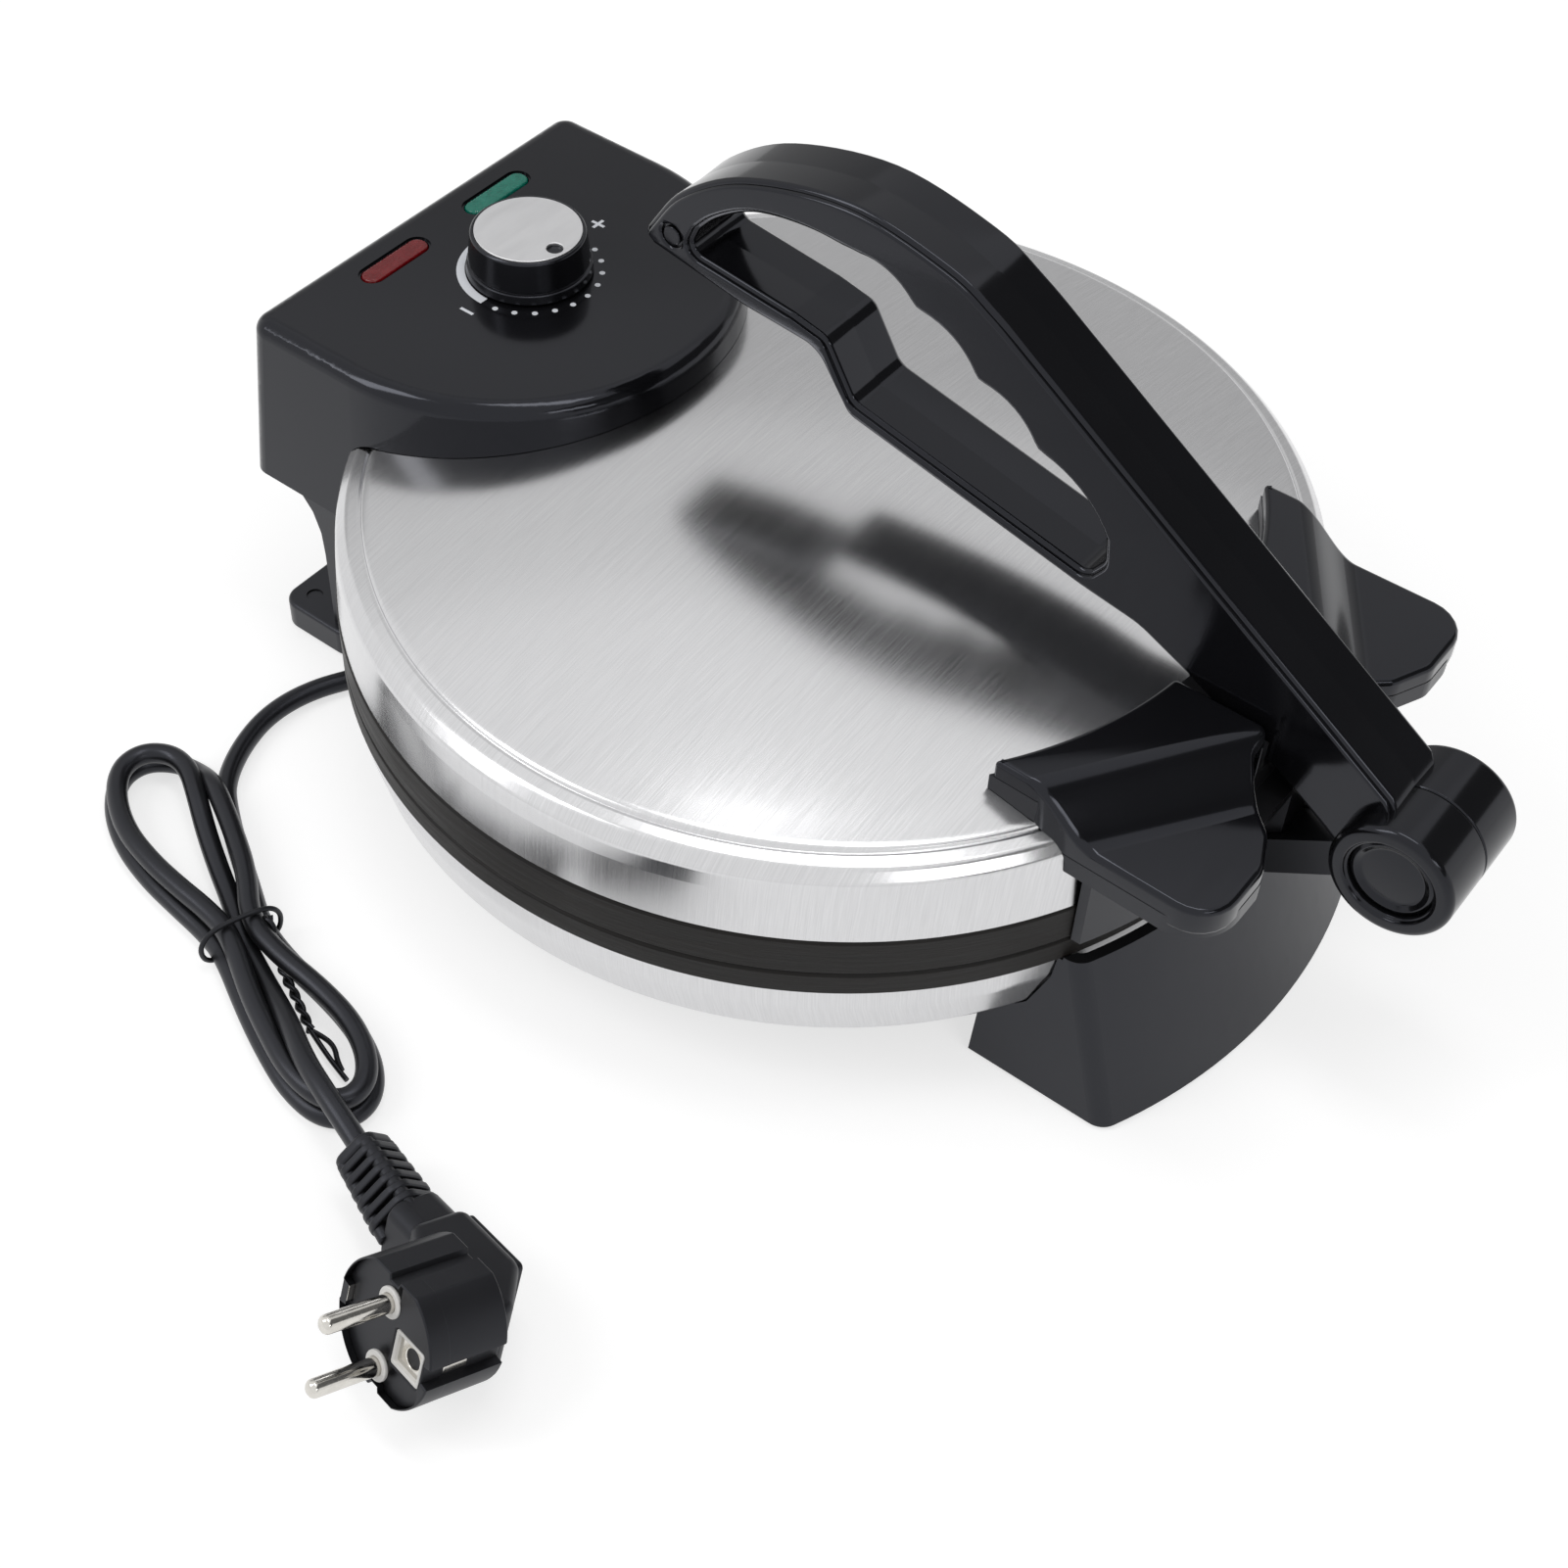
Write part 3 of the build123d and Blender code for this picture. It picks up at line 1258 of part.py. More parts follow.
plug_pins, pin_collars, earth_clips = plug_details()
parts["plug_body"] = plug_face * plug_body()
parts["plug_pins"] = Compound([plug_face * p for p in plug_pins])
parts["pin_collars"] = Compound([plug_face * c for c in pin_collars])
parts["earth_clips"] = Compound([plug_face * c for c in earth_clips])
relief_end = plug_face.from_local_coords(Vector(*relief_tip))
lead_way = plug_face.from_local_coords(Vector(*relief_tip) + relief_way.normalized() * 7)
end_route = [tuple(relief_end), tuple(lead_way), (195.6, -13.5, 15.2), (191.6, -24.5, 14.6)]
print("end route", [tuple(round(c, 1) for c in p) for p in end_route])
parts["cord_end"] = cord_tube(end_route)


# export
os.makedirs("parts", exist_ok=True)
for name, solid in parts.items():
    placed = Pos(0, plate_y, 0) * solid
    solids = placed.solids()
    shape = solids[0] if len(solids) == 1 else Compound(solids)
    shape.label = name
    export_step(shape, os.path.join("parts", name + ".step"))
    low, high = shape.bounding_box().min, shape.bounding_box().max
    print(f"{name:24s} {len(solids):2d} solids  volume {shape.volume:9.0f}  valid {shape.is_valid}  "
          f"x {low.X:7.1f} {high.X:7.1f}  y {low.Y:7.1f} {high.Y:7.1f}  z {low.Z:6.1f} {high.Z:6.1f}")
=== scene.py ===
import bpy
import json
from math import asin, cos, hypot, pi, radians, sin, sqrt, tan
from mathutils import Matrix, Vector


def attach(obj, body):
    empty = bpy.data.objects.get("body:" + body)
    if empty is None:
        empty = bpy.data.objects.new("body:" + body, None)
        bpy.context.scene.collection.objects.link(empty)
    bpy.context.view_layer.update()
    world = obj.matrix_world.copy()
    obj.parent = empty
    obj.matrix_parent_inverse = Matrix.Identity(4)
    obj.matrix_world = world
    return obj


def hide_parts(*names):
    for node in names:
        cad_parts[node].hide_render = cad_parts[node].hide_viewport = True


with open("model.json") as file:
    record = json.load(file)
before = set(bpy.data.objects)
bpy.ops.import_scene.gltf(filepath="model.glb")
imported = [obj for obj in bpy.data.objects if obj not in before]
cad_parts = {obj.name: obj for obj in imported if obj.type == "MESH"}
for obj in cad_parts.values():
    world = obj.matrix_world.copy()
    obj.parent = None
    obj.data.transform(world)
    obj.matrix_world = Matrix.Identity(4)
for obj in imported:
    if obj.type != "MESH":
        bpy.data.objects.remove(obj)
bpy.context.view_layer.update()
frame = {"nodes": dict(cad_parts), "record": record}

mm = 0.001
plateY = -20.8795  # the plates' axis lies this far along Y from the part's origin


def at(x, y, z):
    return Vector((x, y + plateY, z)) * mm


# camera, floor and light

viewSettings = {
    "place": (423.743, 284.260, 542.226),
    "heading": 124.9077,
    "tilt": 41.8729,
    "roll": 3.2537,
    "lens": 56.342, "sensor": 36,
}


def makeCamera():
    cameraData = bpy.data.cameras.new("camera")
    cameraData.lens = viewSettings["lens"]
    cameraData.sensor_width = viewSettings["sensor"]
    camera = bpy.data.objects.new("camera", cameraData)
    bpy.context.scene.collection.objects.link(camera)
    turn = (Matrix.Rotation(radians(viewSettings["heading"]), 4, "Z")
            @ Matrix.Rotation(radians(viewSettings["tilt"]), 4, "X")
            @ Matrix.Rotation(radians(viewSettings["roll"]), 4, "Z"))
    camera.matrix_world = Matrix.Translation(at(*viewSettings["place"])) @ turn
    bpy.context.scene.camera = camera


makeCamera()
bpy.context.scene.view_settings.view_transform = "Standard"

lightSettings = {  # in metres, but for the panels' centre
    "worldGrey": 0.5,
    "floorGrey": 0.5, "floorGlow": 0.66,
    "floorSize": 8, "floorHeight": -0.0004,  # just under the pads
    "lamps": (  # name, place, aims at, size, power in watts
        ("overheadStrip", (0.0, 0.05, 1.35), (0, 0.05, 0.05), (0.26, 0.7), 2.6),
        ("windowStrip", (0.80, -0.65, 0.95), (0, 0, 0.05), (0.3, 0.9), 4.0),
        ("rearStrip", (0.45, 1.15, 0.85), (0, 0, 0.08), (0.7, 0.25), 2.2),
    ),
    "flags": (  # name, direction round and above the plates, distance, size, glow
        ("darkFlag", (214, 20), 1.25, (3.4, 0.80), 0.54),
        ("greyFlag", (214, 43), 1.3, (2.8, 0.55), 0.78),
        ("sideFlag", (110, 36), 1.3, (2.6, 0.95), 0.14),
    ),
    "flagCentre": (0, 0, 80),
}


def cameraRays(tree):
    # 1 where the background is seen straight, in metal or through glass
    path = tree.nodes.new("ShaderNodeLightPath")
    seen = tree.nodes.new("ShaderNodeMath")
    seen.operation = "MAXIMUM"
    tree.links.new(path.outputs["Is Camera Ray"], seen.inputs[0])
    tree.links.new(path.outputs["Is Transmission Ray"], seen.inputs[1])
    shown = tree.nodes.new("ShaderNodeMath")
    shown.operation = "MAXIMUM"
    tree.links.new(seen.outputs[0], shown.inputs[0])
    tree.links.new(path.outputs["Is Glossy Ray"], shown.inputs[1])
    return shown.outputs[0]


def makeWorld():
    world = bpy.data.worlds.new("studioAir")
    bpy.context.scene.world = world
    world.use_nodes = True
    tree = world.node_tree
    tree.nodes.clear()
    soft = tree.nodes.new("ShaderNodeBackground")
    soft.inputs["Color"].default_value = (1, 1, 1, 1)
    soft.inputs["Strength"].default_value = lightSettings["worldGrey"]
    white = tree.nodes.new("ShaderNodeBackground")
    white.inputs["Color"].default_value = (1, 1, 1, 1)
    mix = tree.nodes.new("ShaderNodeMixShader")
    out = tree.nodes.new("ShaderNodeOutputWorld")
    tree.links.new(cameraRays(tree), mix.inputs[0])
    tree.links.new(soft.outputs[0], mix.inputs[1])
    tree.links.new(white.outputs[0], mix.inputs[2])
    tree.links.new(mix.outputs[0], out.inputs[0])


def makeFloor():
    bpy.ops.object.select_all(action="DESELECT")
    bpy.ops.mesh.primitive_plane_add(size=lightSettings["floorSize"],
                                     location=(0, 0, lightSettings["floorHeight"]))
    floor = bpy.context.object
    floor.name = "studioFloor"
    bpy.ops.object.transform_apply(location=True)
    paper = bpy.data.materials.new("floorPaper")
    paper.use_nodes = True
    tree = paper.node_tree
    tree.nodes.clear()
    matte = tree.nodes.new("ShaderNodeBsdfDiffuse")
    grey = lightSettings["floorGrey"]
    matte.inputs["Color"].default_value = (grey, grey, grey, 1)
    glow = tree.nodes.new("ShaderNodeEmission")
    glow.inputs["Color"].default_value = (1, 1, 1, 1)
    amount = tree.nodes.new("ShaderNodeMath")
    amount.operation = "MULTIPLY"
    amount.inputs[1].default_value = lightSettings["floorGlow"]
    both = tree.nodes.new("ShaderNodeAddShader")
    out = tree.nodes.new("ShaderNodeOutputMaterial")
    tree.links.new(cameraRays(tree), amount.inputs[0])
    tree.links.new(amount.outputs[0], glow.inputs["Strength"])
    tree.links.new(matte.outputs[0], both.inputs[0])
    tree.links.new(glow.outputs[0], both.inputs[1])
    tree.links.new(both.outputs[0], out.inputs[0])
    floor.data.materials.append(paper)


def makeLamps():
    for name, place, aim, size, power in lightSettings["lamps"]:
        lamp = bpy.data.lights.new(name, "AREA")
        lamp.shape = "RECTANGLE"
        lamp.size, lamp.size_y = size
        lamp.energy = power
        holder = bpy.data.objects.new(name, lamp)
        bpy.context.scene.collection.objects.link(holder)
        holder.location = place
        holder.rotation_euler = (Vector(place) - Vector(aim)).to_track_quat("Z", "Y").to_euler()


def makeFlags():
    # panels seen in reflections alone; they keep the black mouldings dark
    for name, (around, above), distance, size, glow in lightSettings["flags"]:
        way = Vector((cos(radians(around)) * cos(radians(above)), sin(radians(around)) * cos(radians(above)),
                      sin(radians(above))))
        bpy.ops.object.select_all(action="DESELECT")
        bpy.ops.mesh.primitive_plane_add(size=1)
        flag = bpy.context.object
        flag.name = name
        flag.scale = (*size, 1)
        flag.rotation_euler = way.to_track_quat("Z", "Y").to_euler()
        flag.location = at(*lightSettings["flagCentre"]) + way * distance
        bpy.ops.object.transform_apply(location=True, rotation=True, scale=True)
        paint = bpy.data.materials.new(name)
        paint.use_nodes = True
        tree = paint.node_tree
        tree.nodes.clear()
        shine = tree.nodes.new("ShaderNodeEmission")
        shine.inputs["Strength"].default_value = glow
        out = tree.nodes.new("ShaderNodeOutputMaterial")
        tree.links.new(shine.outputs[0], out.inputs[0])
        flag.data.materials.append(paint)
        flag.visible_camera = False
        flag.visible_diffuse = False
        flag.visible_shadow = False
        flag.visible_transmission = False


makeWorld()
makeFloor()
makeLamps()
makeFlags()
print("camera and studio ready")

# materials


def newMaterial(name):
    material = bpy.data.materials.new(name)
    material.use_nodes = True
    tree = material.node_tree
    return material, tree, tree.nodes["Principled BSDF"]


def objectPlace(tree, stretch=(1, 1, 1), turn=(0, 0, 0), centre=(0, 0, 0)):
    place = tree.nodes.new("ShaderNodeTexCoord")
    mapping = tree.nodes.new("ShaderNodeMapping")
    mapping.inputs["Scale"].default_value = stretch
    mapping.inputs["Rotation"].default_value = turn
    mapping.inputs["Location"].default_value = centre
    tree.links.new(place.outputs["Object"], mapping.inputs["Vector"])
    return mapping.outputs["Vector"]


def noise(tree, place, scale, detail=3.0, rough=0.55):
    speckle = tree.nodes.new("ShaderNodeTexNoise")
    speckle.inputs["Scale"].default_value = scale
    speckle.inputs["Detail"].default_value = detail
    speckle.inputs["Roughness"].default_value = rough
    tree.links.new(place, speckle.inputs["Vector"])
    return speckle.outputs["Fac"]


def spread(tree, value, low, high, inLow=0.3, inHigh=0.7):
    span = tree.nodes.new("ShaderNodeMapRange")
    span.inputs["From Min"].default_value = inLow
    span.inputs["From Max"].default_value = inHigh
    span.inputs["To Min"].default_value = low
    span.inputs["To Max"].default_value = high
    tree.links.new(value, span.inputs["Value"])
    return span.outputs["Result"]


def tint(tree, value, dark, light):
    ramp = tree.nodes.new("ShaderNodeValToRGB")
    ramp.color_ramp.elements[0].position = 0.3
    ramp.color_ramp.elements[0].color = (*dark, 1)
    ramp.color_ramp.elements[1].position = 0.7
    ramp.color_ramp.elements[1].color = (*light, 1)
    tree.links.new(value, ramp.inputs["Fac"])
    return ramp.outputs["Color"]


def relief(tree, bsdf, height, strength, distance):
    bump = tree.nodes.new("ShaderNodeBump")
    bump.inputs["Strength"].default_value = strength
    bump.inputs["Distance"].default_value = distance
    tree.links.new(height, bump.inputs["Height"])
    tree.links.new(bump.outputs["Normal"], bsdf.inputs["Normal"])


plasticSettings = {  # dark, light, roughness low and high, grain size, grain depth, gloss level
    "glossBlack": ((0.003, 0.003, 0.0035), (0.005, 0.005, 0.006), 0.11, 0.16, 900, 0.000004, 0.38),
    "satinBlack": ((0.009, 0.009, 0.0095), (0.013, 0.013, 0.014), 0.26, 0.34, 1800, 0.000008, 0.42),
    "wingBlack": ((0.003, 0.003, 0.0035), (0.005, 0.005, 0.006), 0.09, 0.14, 1500, 0.000003, 0.40),
    "leverBlack": ((0.003, 0.003, 0.0035), (0.005, 0.005, 0.006), 0.09, 0.15, 1600, 0.000004, 0.38),
    "hubBlack": ((0.003, 0.003, 0.0035), (0.005, 0.005, 0.0055), 0.10, 0.16, 1500, 0.000004, 0.36),
    "knobBlack": ((0.003, 0.003, 0.0035), (0.005, 0.005, 0.006), 0.14, 0.22, 1300, 0.000004, 0.45),
    "cordBlack": ((0.005, 0.005, 0.0055), (0.009, 0.009, 0.010), 0.26, 0.36, 1500, 0.00002, 0.42),
    "plugBlack": ((0.006, 0.006, 0.0065), (0.010, 0.010, 0.011), 0.34, 0.46, 2200, 0.00002, 0.35),
    "tieBlack": ((0.004, 0.004, 0.004), (0.008, 0.008, 0.008), 0.30, 0.40, 1800, 0.00001, 0.35),
    "padRubber": ((0.010, 0.010, 0.010), (0.016, 0.016, 0.016), 0.7, 0.8, 2500, 0.00004, 0.3),
    "collarWhite": ((0.72, 0.71, 0.69), (0.78, 0.77, 0.75), 0.35, 0.45, 1500, 0.00001, 0.5),
    "markWhite": ((0.66, 0.68, 0.72), (0.74, 0.76, 0.80), 0.45, 0.55, 2500, 0.00001, 0.4),
    "nylonWhite": ((0.62, 0.60, 0.55), (0.70, 0.68, 0.63), 0.4, 0.5, 1500, 0.00002, 0.45),
    "ceramicWhite": ((0.66, 0.63, 0.57), (0.75, 0.72, 0.66), 0.6, 0.7, 1800, 0.00004, 0.4),
    "sleeveRed": ((0.30, 0.03, 0.02), (0.38, 0.05, 0.03), 0.45, 0.55, 1500, 0.00003, 0.4),
}

plasticLook = {
    "cloud": 14, "relief": 0.25,
    "coolUnder": 0.46, "coolShine": (0.84, 0.87, 1.0),  # a gloss level under this shines a little blue
}


def makePlastic(name):
    dark, light, roughLow, roughHigh, grain, depth, level = plasticSettings[name]
    material, tree, bsdf = newMaterial(name)
    cloud = noise(tree, objectPlace(tree), plasticLook["cloud"], 4)
    fine = noise(tree, objectPlace(tree), grain, 2)
    tree.links.new(tint(tree, cloud, dark, light), bsdf.inputs["Base Color"])
    tree.links.new(spread(tree, cloud, roughLow, roughHigh), bsdf.inputs["Roughness"])
    bsdf.inputs["Specular IOR Level"].default_value = level
    if level < plasticLook["coolUnder"]:
        bsdf.inputs["Specular Tint"].default_value = (*plasticLook["coolShine"], 1)
    relief(tree, bsdf, fine, plasticLook["relief"], depth)
    return material


plastics = {name: makePlastic(name) for name in plasticSettings}

metalSettings = {  # colour low, colour high, roughness low and high, grain stretch
    "plainSteel": ((0.42, 0.42, 0.43), (0.52, 0.52, 0.53), 0.28, 0.4, (40, 40, 900)),
    "screwSteel": ((0.40, 0.40, 0.41), (0.50, 0.50, 0.51), 0.25, 0.35, (600, 600, 600)),
    "elementSteel": ((0.20, 0.19, 0.18), (0.30, 0.29, 0.27), 0.4, 0.55, (300, 300, 300)),
    "sheetAluminium": ((0.68, 0.68, 0.69), (0.78, 0.78, 0.79), 0.25, 0.35, (30, 900, 30)),
    "fuseCan": ((0.55, 0.53, 0.50), (0.66, 0.64, 0.60), 0.3, 0.4, (500, 500, 500)),
    "shaftBrass": ((0.55, 0.42, 0.20), (0.66, 0.52, 0.27), 0.25, 0.35, (200, 200, 1500)),
    "dialSilver": ((0.66, 0.66, 0.67), (0.70, 0.70, 0.71), 0.42, 0.50, (60, 300, 60)),
    "pinNickel": ((0.60, 0.58, 0.54), (0.70, 0.68, 0.64), 0.10, 0.2, (400, 400, 400)),
}

scratchRelief = (0.15, 0.00002)  # strength and depth


def makeMetal(name):
    dark, light, roughLow, roughHigh, stretch = metalSettings[name]
    material, tree, bsdf = newMaterial(name)
    scratch = noise(tree, objectPlace(tree, stretch), 1.0, 5)
    tree.links.new(tint(tree, scratch, dark, light), bsdf.inputs["Base Color"])
    tree.links.new(spread(tree, scratch, roughLow, roughHigh), bsdf.inputs["Roughness"])
    bsdf.inputs["Metallic"].default_value = 1.0
    relief(tree, bsdf, scratch, *scratchRelief)
    return material


metals = {name: makeMetal(name) for name in metalSettings}

brushedSteel = {
    "dark": (0.60, 0.60, 0.61),
    "light": (0.68, 0.68, 0.69),
    "rough": (0.17, 0.24),
    "grain": (70, 3500, 70), "grainTurn": 35,  # degrees
    "cloud": 9, "cloudShare": 0.5,  # of the change in roughness; the grain makes the rest
    "relief": (0.5, 0.000004),
}


def makeBrushedSteel(name):
    s = brushedSteel
    material, tree, bsdf = newMaterial(name)
    turned = objectPlace(tree, s["grain"], (0, 0, radians(s["grainTurn"])))
    lines = noise(tree, turned, 1.0, 4, 0.6)
    cloud = noise(tree, objectPlace(tree), s["cloud"], 3)
    tree.links.new(tint(tree, lines, s["dark"], s["light"]), bsdf.inputs["Base Color"])
    both = tree.nodes.new("ShaderNodeMath")
    both.operation = "MULTIPLY_ADD"
    both.inputs[1].default_value = s["cloudShare"]
    tree.links.new(cloud, both.inputs[0])
    rest = tree.nodes.new("ShaderNodeMath")
    rest.operation = "MULTIPLY"
    rest.inputs[1].default_value = 1 - s["cloudShare"]
    tree.links.new(lines, rest.inputs[0])
    tree.links.new(rest.outputs[0], both.inputs[2])
    tree.links.new(spread(tree, both.outputs[0], *s["rough"]), bsdf.inputs["Roughness"])
    bsdf.inputs["Metallic"].default_value = 1.0
    relief(tree, bsdf, lines, *s["relief"])
    return material


lidSteel = makeBrushedSteel("lidSteel")
bowlSteel = makeBrushedSteel("bowlSteel")

rimSettings = {
    "dark": (0.002, 0.0017, 0.0015),
    "light": (0.012, 0.010, 0.009),
    "streaks": (1, 1, 14), "streakSize": 42,
    "rough": (0.34, 0.52), "gloss": 0.20,
    "relief": (0.5, 0.00025),
}


def makeRimResin():
    # phenolic rims with fine turning streaks that run round the plates' axis
    s = rimSettings
    material, tree, bsdf = newMaterial("rimResin")
    place = objectPlace(tree, s["streaks"], (0, 0, 0), (0, -plateY * mm, 0))
    streaks = noise(tree, place, s["streakSize"], 6, 0.7)
    tree.links.new(tint(tree, streaks, s["dark"], s["light"]), bsdf.inputs["Base Color"])
    tree.links.new(spread(tree, streaks, *s["rough"]), bsdf.inputs["Roughness"])
    bsdf.inputs["Specular IOR Level"].default_value = s["gloss"]
    relief(tree, bsdf, streaks, *s["relief"])
    return material


rimResin = makeRimResin()

castSettings = {
    "dark": (0.030, 0.030, 0.031),
    "light": (0.050, 0.049, 0.048),
    "grain": 700,
    "rough": (0.4, 0.55),
    "relief": (0.3, 0.00005),
}


def makeCastCoating():
    s = castSettings
    material, tree, bsdf = newMaterial("castCoating")
    speckle = noise(tree, objectPlace(tree), s["grain"], 4)
    tree.links.new(tint(tree, speckle, s["dark"], s["light"]), bsdf.inputs["Base Color"])
    tree.links.new(spread(tree, speckle, *s["rough"]), bsdf.inputs["Roughness"])
    relief(tree, bsdf, speckle, *s["relief"])
    return material


castCoating = makeCastCoating()

clearSettings = {  # colour, roughness, transmission
    "redClear": ((0.22, 0.0005, 0.004), 0.08, 0.45),
    "greenClear": ((0.003, 0.24, 0.17), 0.08, 0.45),
    "lampGlass": ((0.85, 0.80, 0.75), 0.08, 0.9),
}

clearLook = {
    "cloud": 400, "roughSpan": 0.08, "gloss": 0.36,
    "cells": 760, "cellJitter": 0.15,  # the windows' small prisms
    "relief": (0.6, 0.0003),
}


def makeClear(name):
    s = clearLook
    colour, rough, through = clearSettings[name]
    material, tree, bsdf = newMaterial(name)
    cloud = noise(tree, objectPlace(tree), s["cloud"], 3)
    pale = tuple(min(1, c * 1.35 + 0.01) for c in colour)
    tree.links.new(tint(tree, cloud, colour, pale), bsdf.inputs["Base Color"])
    tree.links.new(spread(tree, cloud, rough, rough + s["roughSpan"]), bsdf.inputs["Roughness"])
    bsdf.inputs["Transmission Weight"].default_value = through
    bsdf.inputs["IOR"].default_value = 1.5
    bsdf.inputs["Specular IOR Level"].default_value = s["gloss"]
    cells = tree.nodes.new("ShaderNodeTexVoronoi")
    cells.inputs["Scale"].default_value = s["cells"]
    cells.inputs["Randomness"].default_value = s["cellJitter"]
    tree.links.new(objectPlace(tree), cells.inputs["Vector"])
    relief(tree, bsdf, cells.outputs["Distance"], *s["relief"])
    return material


clears = {name: makeClear(name) for name in clearSettings}

finishOf = {
    "polished_steel": lidSteel, "black_rim": rimResin, "cast_plate": castCoating,
    "element_steel": metals["elementSteel"], "sheet_aluminium": metals["sheetAluminium"],
    "gloss_black": plastics["glossBlack"], "satin_black": plastics["satinBlack"],
    "lever_black": plastics["leverBlack"], "hub_black": plastics["hubBlack"],
    "plain_steel": metals["plainSteel"], "screw_steel": metals["screwSteel"],
    "pad_rubber": plastics["padRubber"], "terminal_white": plastics["nylonWhite"],
    "fuse_metal": metals["fuseCan"], "wire_red": plastics["sleeveRed"],
    "thermostat_ceramic": plastics["ceramicWhite"], "shaft_brass": metals["shaftBrass"],
    "red_clear": clears["redClear"], "green_clear": clears["greenClear"],
    "lamp_glass": clears["lampGlass"], "mark_white": plastics["markWhite"],
    "knob_black": plastics["knobBlack"], "knob_silver": metals["dialSilver"],
    "cord_pvc": plastics["cordBlack"], "tie_plastic": plastics["tieBlack"],
    "plug_pvc": plastics["plugBlack"], "pin_nickel": metals["pinNickel"],
    "collar_white": plastics["collarWhite"],
}


def evenShading(piece):
    # keeps flat faces flat beside their rounded edges
    even = piece.modifiers.new("even shading", "WEIGHTED_NORMAL")
    even.keep_sharp = True


for entry in frame["record"]["subparts"]:
    node = frame["nodes"][entry["node"]]
    for slot in node.material_slots:
        slot.material = finishOf[entry["material_slot"]]
for name in ("hinge_bracket", "lid_arm"):  # steel painted black
    for slot in frame["nodes"][name].material_slots:
        slot.material = plastics["satinBlack"]
for name in ("control_box", "wing_housing", "rear_foot", "front_stand", "hinge_bracket", "control_box_tray"):
    evenShading(frame["nodes"][name])
print("materials on", len(frame["nodes"]), "parts")

# shaping helpers; outlines are in millimetres

joinWithin = 0.000004  # points nearer than this are one
sharpAngle = radians(32)
roundSteps = 240  # of what is turned about the plates' axis


def evenly(start, end, steps):
    return [start + (end - start) * k / steps for k in range(steps + 1)]


def roundedRun(corners, closed=True, steps=6):
    # outline through (a, b, radius) corners, each turned with its own arc
    run = []
    count = len(corners)
    for i, (a, b, radius) in enumerate(corners):
        here = Vector((a, b))
        ends = not closed and i in (0, count - 1)
        if radius == 0 or ends:
            run.append(here)
            continue
        back = Vector(corners[i - 1][:2]) - here
        ahead = Vector(corners[(i + 1) % count][:2]) - here
        half = back.angle(ahead) / 2
        reach = min(radius / tan(half), 0.49 * back.length, 0.49 * ahead.length)
        middle = here + (back.normalized() + ahead.normalized()).normalized() * reach / cos(half)
        first = here + back.normalized() * reach - middle
        last = here + ahead.normalized() * reach - middle
        sweep = first.angle_signed(last)
        for k in range(steps + 1):
            turn = -sweep * k / steps
            run.append(middle + Matrix.Rotation(turn, 2) @ first)
    return [tuple(p) for p in run]


def smoothRun(points, steps):
    # curve through the points
    run = []
    line = [Vector(p) for p in points]
    line = [2 * line[0] - line[1]] + line + [2 * line[-1] - line[-2]]
    for a, b, c, d in zip(line, line[1:], line[2:], line[3:]):
        for k in range(steps):
            t = k / steps
            run.append(0.5 * (2 * b + (c - a) * t + (2 * a - 5 * b + 4 * c - d) * t * t
                              + (3 * b - a - 3 * c + d) * t ** 3))
    run.append(line[-2])
    return [tuple(p) for p in run]


def circleRun(a, b, radius, count):
    turns = [2 * pi * k / count for k in range(count)]
    return [(a + radius * cos(turn), b + radius * sin(turn)) for turn in turns]


def pick(*pieces):
    bpy.ops.object.select_all(action="DESELECT")
    for piece in pieces:
        piece.select_set(True)
    bpy.context.view_layer.objects.active = pieces[0]


def meshOf(name, line):
    # the mesh of a curve
    piece = bpy.data.objects.new(name, line)
    bpy.context.scene.collection.objects.link(piece)
    pick(piece)
    bpy.ops.object.convert(target="MESH")
    return bpy.context.object


def closeUp(piece):
    # one clean outside: doubles merged, faces outwards, smooth but for its sharp edges
    bpy.ops.object.mode_set(mode="EDIT")
    bpy.ops.mesh.select_all(action="SELECT")
    bpy.ops.mesh.remove_doubles(threshold=joinWithin)
    bpy.ops.mesh.normals_make_consistent(inside=False)
    bpy.ops.object.mode_set(mode="OBJECT")
    bpy.ops.object.shade_smooth_by_angle(angle=sharpAngle)
    return piece


def turnedPiece(name, profile, steps, centre=None, across=False):
    # ring or disc from a closed (radius, height) profile, turned about the plates' axis or the upright
    # one through centre, or with across about the one that lies along x
    centre = centre or at(0, 0, 0)
    axis = (1, 0, 0) if across else (0, 0, 1)

    def placed(radius, height):
        if across:
            return Vector((height * mm, centre[1], centre[2] + radius * mm))
        return Vector((centre[0] + radius * mm, centre[1], height * mm))

    bpy.ops.object.select_all(action="DESELECT")
    here = placed(*profile[0])
    bpy.ops.mesh.primitive_plane_add(size=mm, location=here)
    piece = bpy.context.object
    piece.name = name
    bpy.ops.object.transform_apply(location=True)
    bpy.ops.object.mode_set(mode="EDIT")
    bpy.ops.mesh.select_mode(type="VERT")
    bpy.ops.mesh.select_all(action="SELECT")
    bpy.ops.mesh.merge(type="CENTER")
    for radius, height in profile[1:] + profile[:1]:
        following = placed(radius, height)
        bpy.ops.mesh.extrude_vertices_move(TRANSFORM_OT_translate={"value": following - here})
        here = following
    bpy.ops.mesh.select_all(action="SELECT")
    bpy.ops.mesh.remove_doubles(threshold=joinWithin)
    bpy.ops.mesh.select_all(action="SELECT")
    bpy.ops.mesh.spin(steps=steps, angle=2 * pi, center=centre, axis=axis)
    bpy.ops.object.mode_set(mode="OBJECT")
    return closeUp(piece)


